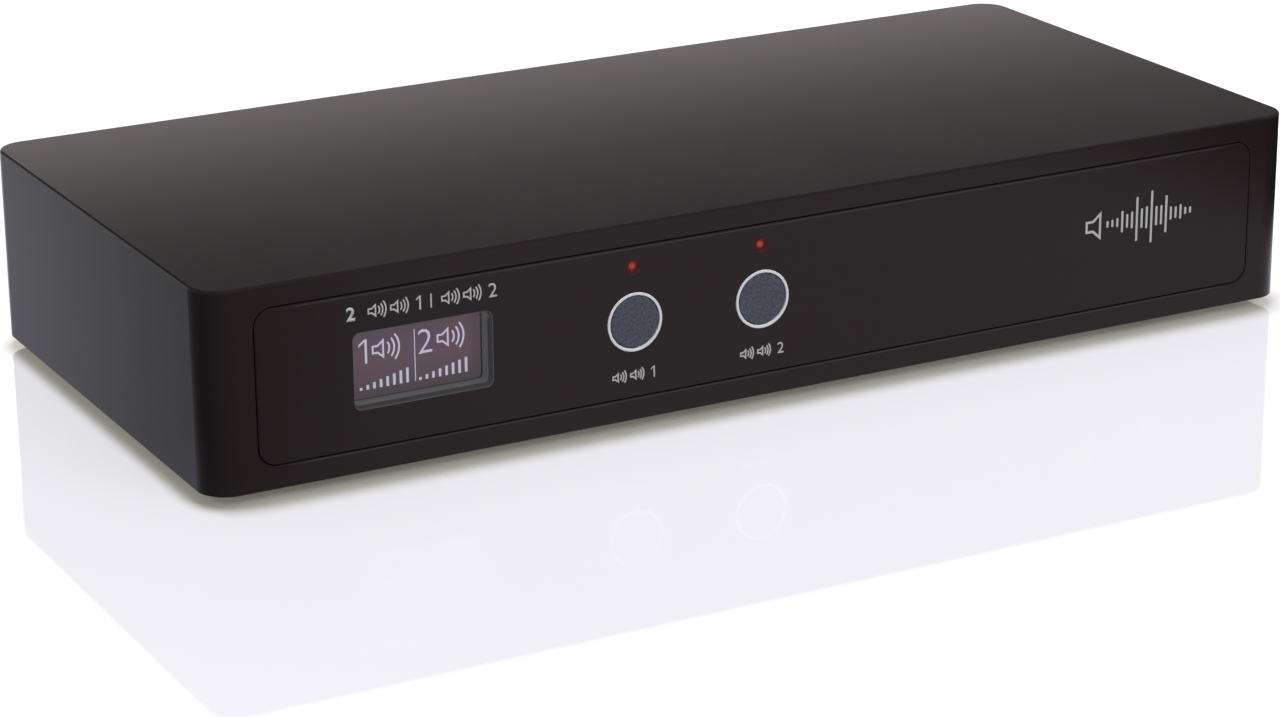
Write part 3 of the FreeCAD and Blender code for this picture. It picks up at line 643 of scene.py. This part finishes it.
@dataclass
class Artwork:
    """Flat marks, drawn lying down in X and Y, then joined, thickened and stood against a face.

    The shares are parts of a sign's height.
    """

    name: str
    thickness: float = 0.02 * MM
    horn_box: Pair = (0.28, 0.42)
    horn_cone: float = 0.34
    one_reach: float = 0.36
    one_drop: float = 0.2
    one_line: float = 0.13
    one_weight: float = 2.7
    arc_points: int = 48
    curve_steps: int = 4
    round_steps: int = 3
    marks: list[bpy.types.Object] = field(default_factory=list)

    def plate(self, x: float, y: float, width: float, height: float) -> bpy.types.Object:
        """Adds a flat rectangle about a point, and gives its piece."""
        bpy.ops.mesh.primitive_plane_add(size=1.0)
        piece = bpy.context.active_object
        piece.scale = (width, height, 1.0)
        piece.location = (x, y, 0.0)
        apply_place(piece)
        self.marks.append(piece)
        return piece

    def bar(self, x: float, y: float, width: float, height: float, round_share: float = 0.0) -> None:
        """Adds an upright or lying bar.

        Args:
            x: The middle of the bar.
            y: The middle of the bar.
            width: Its size along X.
            height: Its size along Y.
            round_share: How far its corners are rounded, as a share of its shorter side.
        """
        piece = self.plate(x, y, width, height)
        if round_share > 0:
            with EditMode(piece, selected=True):
                bpy.ops.mesh.bevel(
                    offset=round_share * min(width, height), segments=self.round_steps, affect="VERTICES"
                )

    def horn(self, x: float, y: float, height: float, line: float = 0.0) -> float:
        """Adds a loudspeaker: a small box that opens into a cone.

        Args:
            x: Its left-hand edge.
            y: Its middle.
            height: The height of the cone's mouth.
            line: How broad its outline is, or 0 for a filled one.

        Returns:
            Its right-hand edge.
        """
        box_width, box_height = (share * height for share in self.horn_box)
        cone_width = self.horn_cone * height
        with EditMode(self.plate(x + box_width / 2, y, box_width, box_height)) as mesh:
            for edge in mesh.edges:
                edge.select_set(all(vertex.co.x > x + box_width / 2 for vertex in edge.verts))
            bpy.ops.mesh.extrude_edges_move(TRANSFORM_OT_translate={"value": (cone_width, 0.0, 0.0)})
            bpy.ops.transform.resize(
                value=(1.0, height / box_height, 1.0), center_override=(x + box_width + cone_width, y, 0.0)
            )
            if line > 0:
                bpy.ops.mesh.select_all(action="SELECT")
                bpy.ops.mesh.inset(thickness=line, depth=0.0, use_even_offset=True)
                bpy.ops.mesh.delete(type="FACE")
        return x + box_width + cone_width

    def arc(self, x: float, y: float, radius: float, band: float, spread: float) -> None:
        """Adds a sound wave: part of a ring, open to the right.

        Args:
            x: The centre of the ring.
            y: The centre of the ring.
            radius: Its outer radius.
            band: How broad the line is.
            spread: Half of the angle that it covers, in degrees.
        """
        bpy.ops.mesh.primitive_circle_add(
            vertices=self.arc_points, radius=radius, fill_type="NOTHING", location=(x, y, 0.0)
        )
        piece = bpy.context.active_object
        apply_place(piece)
        with EditMode(piece, selected=True):
            bpy.ops.mesh.extrude_edges_move()
            shrink = 1 - band / radius
            bpy.ops.transform.resize(value=(shrink, shrink, 1.0), center_override=(x, y, 0.0))
            for side in (-1, 1):
                angle = math.radians(spread)
                bpy.ops.mesh.select_all(action="SELECT")
                bpy.ops.mesh.bisect(
                    plane_co=(x, y, 0.0),
                    plane_no=(-math.sin(angle), side * math.cos(angle), 0.0),
                    clear_outer=True,
                )
        self.marks.append(piece)

    def numeral(self, body: str, x: float, y: float, height: float, weight: float = 0.0) -> float:
        """Adds a numeral or a sign.

        Args:
            body: The numeral.
            x: Its left-hand edge.
            y: Its middle.
            height: Its height.
            weight: How far its outline is fattened, as a share of its height.

        Returns:
            Its right-hand edge.
        """
        if body == "1":
            return self.one(x, y, height, (self.one_line + self.one_weight * weight) * height)
        bpy.ops.object.text_add()
        piece = bpy.context.active_object
        piece.data.body = body
        piece.data.resolution_u = self.curve_steps
        piece.data.offset = weight
        select_only(piece)
        bpy.ops.object.convert(target="MESH")
        piece = bpy.context.active_object
        low, high = span(piece)
        scale = height / (high.y - low.y)
        piece.scale = (scale, scale, 1.0)
        piece.location = (x - low.x * scale, y - (low.y + high.y) / 2 * scale, 0.0)
        apply_place(piece)
        self.marks.append(piece)
        return x + (high.x - low.x) * scale

    def one(self, x: float, y: float, height: float, line: float) -> float:
        """Adds a 1: a stem with a slanting flag.

        Args:
            x: Its left-hand edge.
            y: Its middle.
            height: Its height.
            line: How broad its strokes are.

        Returns:
            Its right-hand edge.
        """
        reach, drop = self.one_reach * height, self.one_drop * height
        self.bar(x + reach - line / 2, y, line, height)
        self.bar(x + (reach - line) / 2, y + (height - line) / 2, reach - line, line)
        with EditMode(self.marks[-1]) as mesh:
            for vertex in mesh.verts:
                vertex.select_set(vertex.co.x < x + reach / 4)
            bpy.ops.transform.translate(value=(0.0, -drop, 0.0))
        return x + reach

    def stand(self, place: Matrix, finish: Finish) -> None:
        """Makes one piece of the marks, which rides on the case.

        Args:
            place: Where the drawing's plane goes.
            finish: The finish of the marks.
        """
        select_only(*self.marks)
        if len(self.marks) > 1:
            bpy.ops.object.join()
        piece = bpy.context.active_object
        piece.name = piece.data.name = self.name
        merge_points(piece)
        with EditMode(piece) as mesh:
            for face in mesh.faces:
                if face.normal.z < 0:
                    face.normal_flip()
        thicken(piece, self.thickness, 1.0)
        piece.matrix_world = place
        apply_place(piece)
        dress(piece, finish.material())
        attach(piece, CASE_BODY)
        log.info("%s: %d faces", self.name, len(piece.data.polygons))


def span(piece: bpy.types.Object) -> tuple[Vector, Vector]:
    """The lowest and highest corners of a mesh."""
    points = [vertex.co for vertex in piece.data.vertices]
    low = Vector([min(point[axis] for point in points) for axis in range(3)])
    high = Vector([max(point[axis] for point in points) for axis in range(3)])
    return low, high


def dress(piece: bpy.types.Object, material: bpy.types.Material) -> None:
    """Gives a piece one material in every slot."""
    if not piece.material_slots:
        piece.data.materials.append(material)
    for slot in piece.material_slots:
        slot.link = "OBJECT"
        slot.material = material


def upright(x: float, y: float, z: float, turned: float = 0.0) -> Matrix:
    """The place of a drawing that is read from the front, or turned by an angle in degrees."""
    about = Matrix.Rotation(math.radians(turned), 4, "Z")
    return Matrix.Translation((x, y, z)) @ about @ Matrix.Rotation(math.radians(90), 4, "X")


# ---------------------------------------------------------------- sub-assemblies
@dataclass
class Palette:
    """The finish of each of the record's slots."""

    lamp_flange_radius: float = 1.5 * MM
    lamp_leads_depth: float = 3.8 * MM
    groove: float = 0.16 * MM
    # How far the painted highlight lines lie below the case's groove and below the panel's top.
    case_edge_drop: float = 0.2 * MM
    panel_edge_drop: float = 0.29 * MM
    # How far up the display's painted reflection turns greyer.
    grey_reach: float = 6 * MM
    black: Colour = (0.0144, 0.0092, 0.0100)
    finishes: dict[Slot, Finish] = field(init=False)

    def __post_init__(self) -> None:
        """Works out the finishes, some of them from where their pieces lie."""
        lens_low, lens_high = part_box("display_lens")
        face_y = lens_low.y
        buttons = [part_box(f"zone_{number}_button") for number in ZONES]
        lamp_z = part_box("indicator_leds")[1].z - self.lamp_flange_radius
        centres = tuple(((low.x + high.x) / 2, lamp_z) for low, high in buttons)
        holes = {
            "window_middle": ((lens_low.x + lens_high.x) / 2, (lens_low.z + lens_high.z) / 2),
            "window_half": ((lens_high.x - lens_low.x) / 2, (lens_high.z - lens_low.z) / 2),
            "lamps": centres,
            "face_y": face_y,
        }
        panel_low, panel_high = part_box("fascia_panel")
        # Where the painted highlight lines lie: under the case's groove and below the panel's top.
        case_highlight_z = panel_low.z - self.groove - self.case_edge_drop
        panel_highlight_z = panel_high.z - self.panel_edge_drop
        self.finishes = {
            Slot.CASE: PunchedPlastic("satin_case", self.black, 0.22, 0.14, edge_z=case_highlight_z, **holes),
            Slot.FASCIA: PunchedPlastic(
                "fascia_film", self.black, 0.22, 0.14, grain_depth=0.002 * MM, edge_z=panel_highlight_z, **holes
            ),
            Slot.WINDOW: ClearWindow("clear_window", (0.02, 0.02, 0.022), 0.08),
            Slot.DISPLAY: DisplayGlass(
                "display_glass", (0.02, 0.014, 0.018), 0.3, 0.3,
                grey_edge=(lens_low.z + self.grey_reach, lens_low.z),
            ),
            Slot.FOAM: EdgeLitFoam(
                "grey_foam", (0.038, 0.039, 0.040), 0.9, 0.2, grain=0.4, grain_depth=0.03 * MM
            ),
            Slot.CARRIER: Finish("carrier_plastic", (0.035, 0.035, 0.036), 0.5),
            Slot.RING: Finish("light_ring", (0.66, 0.66, 0.70), 0.35, grain_depth=0.001 * MM),
            Slot.BUTTON_CAP: SpeckledCap("button_cap", (0.058, 0.063, 0.088), 0.55, 0.3),
            Slot.PLUNGER: Finish("plunger_plastic", (0.05, 0.05, 0.05), 0.5),
            Slot.SWITCH_BODY: Finish("switch_plastic", (0.025, 0.025, 0.026), 0.5),
            Slot.RED_LAMP: LitLamp(
                "red_lamp", (0.06, 0.006, 0.006), 0.35,
                centres=centres, leads_y=face_y + self.lamp_leads_depth,
            ),
            Slot.CIRCUIT_BOARD: CircuitBoard("circuit_board", (0.012, 0.085, 0.04), 0.3),
            Slot.RELAY_CASE: Finish("relay_case", (0.04, 0.04, 0.045), 0.3),
            Slot.CAN_METAL: PlatedMetal("tinned_sheet", (0.62, 0.61, 0.58), 0.32),
            Slot.CAPACITOR_SLEEVE: Finish("capacitor_sleeve", (0.03, 0.035, 0.07), 0.25),
            Slot.CONTACT_METAL: PlatedMetal("tinned_contact", (0.66, 0.64, 0.58), 0.26),
            Slot.TERMINAL_PLASTIC: Finish("terminal_plastic", (0.018, 0.018, 0.019), 0.42, 0.4),
            Slot.CLAMP_STEEL: PlatedMetal("zinc_steel", (0.56, 0.56, 0.54), 0.3),
            Slot.SCREW_STEEL: PlatedMetal("blackened_steel", (0.06, 0.06, 0.062), 0.35),
            Slot.FOOT_RUBBER: Finish("foot_rubber", (0.016, 0.016, 0.017), 0.75, 0.3),
        }

    def dress_construction(self) -> None:
        """Gives every node of the construction the finish of its slot."""
        materials = {slot: finish.material() for slot, finish in self.finishes.items()}
        for part in frame["record"]["subparts"]:
            dress(frame["nodes"][part["node"]], materials[Slot(part["material_slot"])])
        log.info("%d nodes dressed in %d finishes", len(frame["nodes"]), len(materials))


@dataclass
class FrontPrint:
    """Light grey printing on the fascia: pictograms and numerals."""

    ink: Finish = Finish("front_ink", (0.44, 0.44, 0.45), 0.5, 0.3, drift=0.1, grain=0.25)
    line: float = 0.24 * MM
    waves: int = 3
    wave_start: float = 0.2
    first_wave: float = 0.5
    wave_pitch: float = 0.24
    wave_spread: float = 38.0
    label_height: float = 1.85 * MM
    label_width: float = 8.2 * MM
    label_z: float = 9.5 * MM
    pair_gap: float = 0.55 * MM
    numeral_gap: float = 1.2 * MM
    title_height: float = 2.25 * MM
    title_left: float = -76.8 * MM
    title_z: float = 27.6 * MM
    title_start_gap: float = 2.1 * MM
    title_zone_gap: float = 3.4 * MM
    title_weight: float = 0.035
    mark_left: float = 58.0 * MM
    mark_z: float = 20.4 * MM
    mark_height: float = 9.2 * MM
    mark_width: float = 23.0 * MM
    mark_horn: float = 0.55
    mark_gap: float = 1.3 * MM
    mark_pitch: float = 1.0 * MM
    mark_line: float = 0.42 * MM
    mark_least: float = 0.12
    mark_ripple: float = 0.45
    mark_ripple_turn: float = 2.1
    mark_round: float = 0.4

    def sounding_horn(self, art: Artwork, x: float, height: float) -> float:
        """A loudspeaker with sound waves. Returns its right-hand edge."""
        start = art.horn(x, 0.0, height, self.line) - self.wave_start * height
        radii = [(self.first_wave + self.wave_pitch * wave) * height for wave in range(self.waves)]
        for radius in radii:
            art.arc(start, 0.0, radius, self.line, self.wave_spread)
        return start + radii[-1]

    def zone(self, art: Artwork, x: float, height: float, number: int) -> float:
        """A pair of loudspeakers and their zone's number. Returns its right-hand edge."""
        for _ in range(2):
            x = self.sounding_horn(art, x, height) + self.pair_gap
        return art.numeral(str(number), x - self.pair_gap + self.numeral_gap, 0.0, height)

    def label(self, number: int) -> None:
        """The pictograms and the numeral under one button."""
        low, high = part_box(f"zone_{number}_button")
        art = Artwork(f"panel_print_zone_{number}")
        self.zone(art, -self.label_width / 2, self.label_height, number)
        art.stand(upright((low.x + high.x) / 2, self.face_y(), self.label_z), self.ink)

    def title(self) -> None:
        """The row of signs over the window: two ways, each to its pair of loudspeakers."""
        art = Artwork("panel_print_title")
        height = self.title_height
        x = art.numeral("2", 0.0, 0.0, height, self.title_weight) + self.title_start_gap
        x = self.zone(art, x, height, 1) + self.title_zone_gap
        art.bar(x - self.title_zone_gap / 2, 0.0, self.line, height)
        self.zone(art, x, height, 2)
        art.stand(upright(self.title_left, self.face_y(), self.title_z), self.ink)

    def mark(self) -> None:
        """A loudspeaker and a level pattern at the right-hand end."""
        art = Artwork("panel_print_mark")
        x = art.horn(0.0, 0.0, self.mark_horn * self.mark_height, self.mark_line) + self.mark_gap
        count = int((self.mark_width - x) / self.mark_pitch)
        for n in range(count):
            hump = math.sin(math.pi * (n + 0.5) / count) ** 2
            ripple = 1 - self.mark_ripple + self.mark_ripple * math.cos(n * self.mark_ripple_turn)
            height = self.mark_height * (self.mark_least + (1 - self.mark_least) * hump * ripple)
            art.bar(x + n * self.mark_pitch, 0.0, self.mark_line, height, self.mark_round)
        art.stand(upright(self.mark_left, self.face_y(), self.mark_z), self.ink)

    @staticmethod
    def face_y() -> float:
        """The Y of the fascia's face."""
        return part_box("fascia_panel")[0].y

    def build(self) -> None:
        """Makes all of the front printing."""
        for number in ZONES:
            self.label(number)
        self.title()
        self.mark()


@dataclass
class Readout:
    """What the display shows: two zones, each with its numeral, loudspeaker and level."""

    light: Finish = LitMark("lit_mark", (0.58, 0.58, 0.72), 0.4, strength=1.0, drift=0.15, grain=0.1)
    numeral_height: float = 3.9 * MM
    numeral_weight: float = -0.012
    horn_height: float = 3.3 * MM
    horn_gap: float = 0.8 * MM
    line: float = 0.30 * MM
    waves: int = 3
    wave_start: float = 0.6 * MM
    first_wave: float = 0.5
    wave_pitch: float = 0.25
    wave_spread: float = 40.0
    left: float = -9.0 * MM
    zone_pitch: float = 10.0 * MM
    upper_y: float = 1.5 * MM
    level_y: float = -4.7 * MM
    level_pitch: float = 1.12 * MM
    level_least: float = 0.45 * MM
    level_rise: float = 0.28 * MM
    level_width: float = 0.44 * MM
    levels: int = 8
    divider: Pair = (0.14 * MM, 8.4 * MM)
    divider_gap: float = 0.6 * MM
    divider_y: float = -0.5 * MM

    def zone(self, art: Artwork, number: int, left: float) -> None:
        """Draws one zone: its numeral, its loudspeaker with sound waves, and its level."""
        x = art.numeral(str(number), left, self.upper_y, self.numeral_height, self.numeral_weight)
        start = art.horn(x + self.horn_gap, self.upper_y, self.horn_height, self.line) - self.wave_start
        for wave in range(self.waves):
            radius = (self.first_wave + self.wave_pitch * wave) * self.horn_height
            art.arc(start, self.upper_y, radius, self.line, self.wave_spread)
        for level in range(self.levels):
            height = self.level_least + level * self.level_rise
            middle = left + level * self.level_pitch + self.level_width / 2
            art.bar(middle, self.level_y + height / 2, self.level_width, height)

    def build(self) -> None:
        """Draws the readout and stands it on the front of the display's glass."""
        low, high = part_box("display_lens")
        middle = (low + high) / 2
        glass_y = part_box("display_glass")[0].y
        art = Artwork("display_readout")
        for number in ZONES:
            self.zone(art, number, self.left + (number - 1) * self.zone_pitch)
        art.bar(self.left + self.zone_pitch - self.divider_gap, self.divider_y, *self.divider)
        art.stand(upright(middle.x, glass_y, middle.z), self.light)


@dataclass
class RearPrint:
    """Signs on the rear wall: which terminals are which, and where the supply goes in."""

    ink: Finish = Finish("rear_ink", (0.42, 0.42, 0.43), 0.5, 0.3, drift=0.1, grain=0.25)
    sign: float = 1.5 * MM
    line: float = 0.3 * MM
    sign_rise: float = 1.6 * MM
    numeral_rise: float = 5.2 * MM
    numeral_height: float = 2.6 * MM
    numeral_gap: float = 1.0 * MM
    numeral_weight: float = 0.01
    horn_left: float = -2.6 * MM
    poles: int = 4
    arrow_middle: float = -0.8 * MM
    arrow_length: float = 3.0 * MM
    arrow_left: float = 0.7 * MM
    arrow_height: float = 2.0 * MM
    supply_rise: float = 3.0 * MM
    supply_width: float = 3.6 * MM
    supply_gap: float = 0.9 * MM
    dash_width: float = 1.0 * MM
    dash_pitch: float = 1.3 * MM

    def build(self) -> None:
        """Makes the signs over each terminal block and over the power socket."""
        wall_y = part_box("housing_shell")[1].y
        for circuit in ("input", "zone_1", "zone_2"):
            low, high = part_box(f"{circuit}_plug")
            middle_x = (low.x + high.x) / 2
            pitch = (high.x - low.x) / self.poles
            art = Artwork(f"rear_print_{circuit}")
            for pole in range(self.poles):
                self.polarity(art, (pole - (self.poles - 1) / 2) * pitch, pole % 2 == 0)
            if circuit == "input":
                art.bar(self.arrow_middle, self.numeral_rise, self.arrow_length, self.line)
                art.horn(self.arrow_left, self.numeral_rise, self.arrow_height)
            else:
                x = art.horn(self.horn_left, self.numeral_rise, self.numeral_height) + self.numeral_gap
                art.numeral(circuit[-1], x, self.numeral_rise, self.numeral_height, self.numeral_weight)
            art.stand(upright(middle_x, wall_y, high.z, REAR), self.ink)
        self.supply(wall_y)

    def polarity(self, art: Artwork, x: float, plus: bool) -> None:
        """Draws a plus or a minus over one pole."""
        art.bar(x, self.sign_rise, self.sign, self.line)
        if plus:
            stub = (self.sign - self.line) / 2
            for side in (-1, 1):
                art.bar(x, self.sign_rise + side * (self.line + stub) / 2, self.line, stub)

    def supply(self, wall_y: float) -> None:
        """The sign for direct current over the power socket."""
        low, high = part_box("power_socket")
        art = Artwork("rear_print_power")
        art.bar(0.0, self.supply_gap / 2, self.supply_width, self.line)
        for dash in (-1, 0, 1):
            art.bar(dash * self.dash_pitch, -self.supply_gap / 2, self.dash_width, self.line)
        place = upright((low.x + high.x) / 2, wall_y, high.z + self.supply_rise, REAR)
        art.stand(place, self.ink)


@dataclass
class SnapDome:
    """The thin sprung dome in one button's switch, which the plunger presses flatter."""

    number: int
    thickness: float = 0.1 * MM
    pressed_share: float = 0.4
    segments: int = 48
    sphere_rings: int = 64

    def build(self) -> None:
        """Makes the dome in the place of the construction's rigid one."""
        node = f"zone_{self.number}_dome"
        low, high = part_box(node)
        middle = (low + high) / 2
        foot = (middle.x, high.y, middle.z)
        rise = high.y - low.y
        bend = (((high.x - low.x) / 2) ** 2 + rise ** 2) / (2 * rise)
        bpy.ops.mesh.primitive_uv_sphere_add(
            segments=self.segments, ring_count=self.sphere_rings, radius=bend,
            location=(middle.x, low.y + bend, middle.z), rotation=(math.radians(90), 0.0, 0.0),
        )
        piece = bpy.context.active_object
        piece.name = piece.data.name = f"zone_{self.number}_snap_dome"
        apply_place(piece)
        with EditMode(piece, selected=True):
            bpy.ops.mesh.bisect(plane_co=foot, plane_no=(0.0, 1.0, 0.0), clear_outer=True)
        merge_points(piece)
        thicken(piece, self.thickness, -1.0)
        with EditMode(piece) as mesh:
            for vertex in mesh.verts:
                vertex.select_set(vertex.co.y > high.y - self.thickness / 10)
            bpy.ops.transform.resize(value=(1.0, 0.0, 1.0), center_override=foot)
        dress(piece, frame["nodes"][node].material_slots[0].material)
        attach(piece, CASE_BODY)
        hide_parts(node)
        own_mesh(piece)


# ---------------------------------------------------------------- studio
class Reach(Enum):
    """What a lamp lights."""

    ALL = "all"
    FLOOR = "INCLUDE"


@dataclass
class SoftLight:
    """A large soft lamp."""

    name: str
    place: Triple
    aim: Triple
    width: float
    height: float
    power: float
    color: Colour = (1.0, 1.0, 1.0)
    reach: Reach = Reach.ALL
    diffuse: bool = True
    glossy: bool = True

    def build(self) -> None:
        """Hangs the lamp, turns it to its aim and says what it lights."""
        lamp = bpy.data.lights.new(self.name, "AREA")
        lamp.shape = "RECTANGLE"
        lamp.size, lamp.size_y = self.width, self.height
        lamp.energy = self.power
        lamp.color = self.color
        piece = bpy.data.objects.new(self.name, lamp)
        bpy.context.scene.collection.objects.link(piece)
        piece.location = self.place
        piece.rotation_euler = (Vector(self.aim) - Vector(self.place)).to_track_quat("-Z", "Y").to_euler()
        piece.visible_camera = False
        piece.visible_diffuse = self.diffuse
        piece.visible_glossy = self.glossy
        if self.reach is not Reach.ALL:
            receivers = bpy.data.collections.new(f"{self.name}_receivers")
            receivers.objects.link(bpy.data.objects[FLOOR_NAME])
            receivers.collection_objects[0].light_linking.link_state = self.reach.value
            piece.light_linking.receiver_collection = receivers


@dataclass
class Studio:
    """A white floor, soft light and the camera.

    An edge, a span or a start holds the two places between which a share rises from 0 to 1.
    """

    floor_size: float = 12.0
    floor_color: Colour = (0.13, 0.129, 0.136)
    floor_roughness: float = 0.03
    floor_specular: float = 0.15

    # The floor's own light, as the eye sees it: full far away, and less where the object shuts it in.
    floor_glow: float = 0.78
    floor_tint: Colour = (0.985, 0.975, 1.03)
    white_span: Pair = (0.12, 0.34)
    contact_reach: float = 0.008
    contact_edge: Pair = (0.55, 0.85)
    contact_dark: float = 0.01
    contact_light: float = 0.31
    contact_tint: Colour = (1.05, 0.99, 0.83)
    side_start: Pair = (-0.097, -0.103)
    side_narrowing: float = 0.0036
    halo_reach: float = 0.03
    halo_share: float = 0.14

    # The floor's own light, as the case mirrors it: a flag shades it beside the case and in front of it.
    flag_edge: Pair = (-0.145, -0.04)
    flag_lean: float = 0.25
    flag_turn: float = -0.02
    flag_tint: Colour = (0.95, 0.95, 1.16)
    right_edge: Pair = (0.165, 0.12)
    front_edge: Pair = (-0.045, -0.065)
    front_line: float = -0.05
    front_lean: float = 0.538
    front_span: Pair = (-0.102, -0.078)
    front_light: float = 0.8
    front_tint: Colour = (0.92, 0.86, 0.90)

    # The sky, as the case mirrors it: white at the horizon, dark above, with a soft light here and there.
    fill: float = 0.25
    horizon: Pair = (-0.05, 0.2)
    ceiling: float = 0.04
    side_glow: float = 0.45
    side_sky: Pair = (0.0, -0.5)
    high_glow: float = 0.5
    front_sky: Pair = (0.1, -0.2)
    high_sky: Pair = (0.5, 0.8)

    key_place: Triple = (0.2, -0.85, 0.8)
    key_size: float = 0.65
    key_power: float = 12.9
    strip_place: Triple = (0.2, 0.2, 0.07)
    strip_aim: Triple = (0.2, -0.05, 0.034)
    strip_size: Pair = (0.6, 0.04)
    strip_power: float = 0.08
    strip_color: Colour = (1.0, 0.9, 0.9)
    cards: int = 4
    card_distance: float = 2.2
    card_height: float = 2.4
    card_radiance: float = 1.5

    camera_place: Triple = (-0.28884, -0.53906, 0.20583)
    camera_yaw: float = 28.277
    camera_pitch: float = 19.301
    camera_roll: float = -0.466
    camera_near: float = 0.01
    lens: float = 104.638
    sensor: float = 36.0

    @staticmethod
    def rays(graph: Graph) -> tuple[Wire, Wire]:
        """Whether a ray is the eye's, also through something clear, and whether it is a glossy one."""
        path = graph.node("ShaderNodeLightPath").socket.node.outputs
        camera, glossy, through = (
            Wire(graph, path[name]) for name in ("Is Camera Ray", "Is Glossy Ray", "Is Transmission Ray")
        )
        return camera.larger(through), glossy

    @staticmethod
    def openness(graph: Graph, reach: Wire | float) -> Wire:
        """1 in the open, and less near the object, within a reach."""
        return graph.node("ShaderNodeAmbientOcclusion", {"samples": 8}, {"Distance": reach}, output="AO")

    def seen_light(self, graph: Graph, x: Wire, y: Wire) -> tuple[Wire, Wire]:
        """The floor's light as the eye sees it.

        Args:
            graph: The floor's material.
            x: The point's X.
            y: The point's Y.

        Returns:
            How strong the light is, and its tint.
        """
        away = ((x ** 2 + y ** 2) ** 0.5).rise(*self.white_span)
        contact = self.openness(graph, self.contact_reach - x.rise(*self.side_start) * self.side_narrowing)
        halo = 1 - self.halo_share + self.openness(graph, self.halo_reach) * self.halo_share
        shade = contact.rise(*self.contact_edge)
        near = self.contact_light * contact.rise(0.0, self.contact_dark) * (1 - shade) + shade
        strength = near * halo * (self.floor_glow + away * (1 - self.floor_glow))
        return strength, graph.blend(shade, self.contact_tint, self.floor_tint)

    def mirrored_light(self, graph: Graph, x: Wire, y: Wire) -> tuple[Wire, Wire]:
        """The floor's light as the case mirrors it.

        Args:
            graph: The floor's material.
            x: The point's X.
            y: The point's Y.

        Returns:
            How strong the light is, and its tint.
        """
        flag = (x + y.larger(self.flag_turn) * self.flag_lean).rise(*self.flag_edge)
        ahead = y.rise(*self.front_edge)
        front = (x + (y - self.front_line) * self.front_lean).rise(*self.front_span) * self.front_light
        return flag * (1 - ahead * (1 - front)), graph.blend(ahead, self.flag_tint, self.front_tint)

    def floor(self) -> None:
        """A wide pale floor that keeps the shadow and shines a little."""
        bpy.ops.mesh.primitive_plane_add(size=self.floor_size)
        piece = bpy.context.active_object
        piece.name = FLOOR_NAME
        made = bpy.data.materials.new(FLOOR_NAME)
        graph = Graph(made)
        base = graph.surface(
            Base_Color=self.floor_color,
            Roughness=self.floor_roughness,
            Specular_IOR_Level=self.floor_specular,
        )
        x, y, _ = graph.axes()
        eye, glossy = self.rays(graph)
        seen, seen_tint = self.seen_light(graph, x, y)
        mirrored, mirrored_tint = self.mirrored_light(graph, x, y)
        right = x.rise(*self.right_edge)
        strength = eye * seen + glossy * mirrored * right
        tint = graph.blend(glossy, seen_tint, mirrored_tint)
        glow = graph.node("ShaderNodeEmission", inputs={"Color": tint, "Strength": strength})
        lit = graph.node("ShaderNodeAddShader", inputs={0: base, 1: glow})
        black = graph.node("ShaderNodeEmission", inputs={"Color": (0, 0, 0, 1)})
        graph.end("ShaderNodeOutputMaterial", graph.mixed(glossy * (1 - right), lit, black))
        piece.data.materials.append(made)

    def world(self) -> None:
        """White to the eye, a soft sky in reflections, and a soft fill light otherwise."""
        made = bpy.data.worlds.new("studio_world")
        bpy.context.scene.world = made
        graph = Graph(made)
        eye, glossy = self.rays(graph)
        direction = graph.node("ShaderNodeSeparateXYZ", inputs={0: graph.node("ShaderNodeTexCoord")})
        aside, ahead, above = (Wire(graph, output) for output in direction.socket.node.outputs)
        ceiling = self.ceiling + aside.rise(*self.side_sky) * self.side_glow
        for share in (ahead.rise(*self.front_sky), above.rise(*self.high_sky)):
            ceiling = ceiling.larger(share * self.high_glow)
        mirrored = 1 - above.rise(*self.horizon) * (1 - ceiling)
        strength = eye + (1 - eye) * (glossy * mirrored + (1 - glossy) * self.fill)
        sky = graph.node("ShaderNodeBackground", inputs={"Color": (1, 1, 1, 1), "Strength": strength})
        graph.end("ShaderNodeOutputWorld", sky)

    def camera(self) -> None:
        """The camera, level but for a slight roll, with no shift and no depth of field."""
        turns = ((-self.camera_yaw, "Z"), (90 - self.camera_pitch, "X"), (self.camera_roll, "Z"))
        place = Matrix.Translation(self.camera_place)
        for angle, axis in turns:
            place = place @ Matrix.Rotation(math.radians(angle), 4, axis)
        lens = bpy.data.cameras.new("studio_camera")
        lens.lens = self.lens
        lens.sensor_width = self.sensor
        lens.sensor_fit = "HORIZONTAL"
        lens.clip_start = self.camera_near
        piece = bpy.data.objects.new("studio_camera", lens)
        bpy.context.scene.collection.objects.link(piece)
        piece.matrix_world = place
        bpy.context.scene.camera = piece

    def lights(self) -> None:
        """A broad key light from above and in front, a low strip behind, and cards that the floor mirrors."""
        SoftLight(
            "key_light", self.key_place, (0.0, 0.0, 0.0), self.key_size, self.key_size, self.key_power,
            glossy=False,
        ).build()
        SoftLight(
            "rear_strip", self.strip_place, self.strip_aim, *self.strip_size, self.strip_power,
            self.strip_color,
        ).build()
        width, height = 2 * self.card_distance, self.card_height
        for card in range(self.cards):
            side = Vector((0.0, self.card_distance, 0.0))
            side.rotate(Matrix.Rotation(math.tau * card / self.cards, 3, "Z"))
            SoftLight(
                f"card_{card}",
                (side.x, side.y, height / 2),
                (0.0, 0.0, height / 2),
                width,
                height,
                self.card_radiance * math.pi * width * height,
                reach=Reach.FLOOR,
                diffuse=False,
            ).build()

    def build(self) -> None:
        """Sets the studio up."""
        self.floor()
        self.world()
        self.lights()
        self.camera()
        bpy.context.scene.view_settings.view_transform = "Standard"


def main() -> None:
    """Dresses the construction, adds the new pieces and sets up the studio."""
    logging.basicConfig(level=logging.INFO, format="%(message)s")
    Palette().dress_construction()
    FrontPrint().build()
    Readout().build()
    RearPrint().build()
    for number in ZONES:
        SnapDome(number).build()
    Studio().build()


if __name__ == "__main__":
    main()
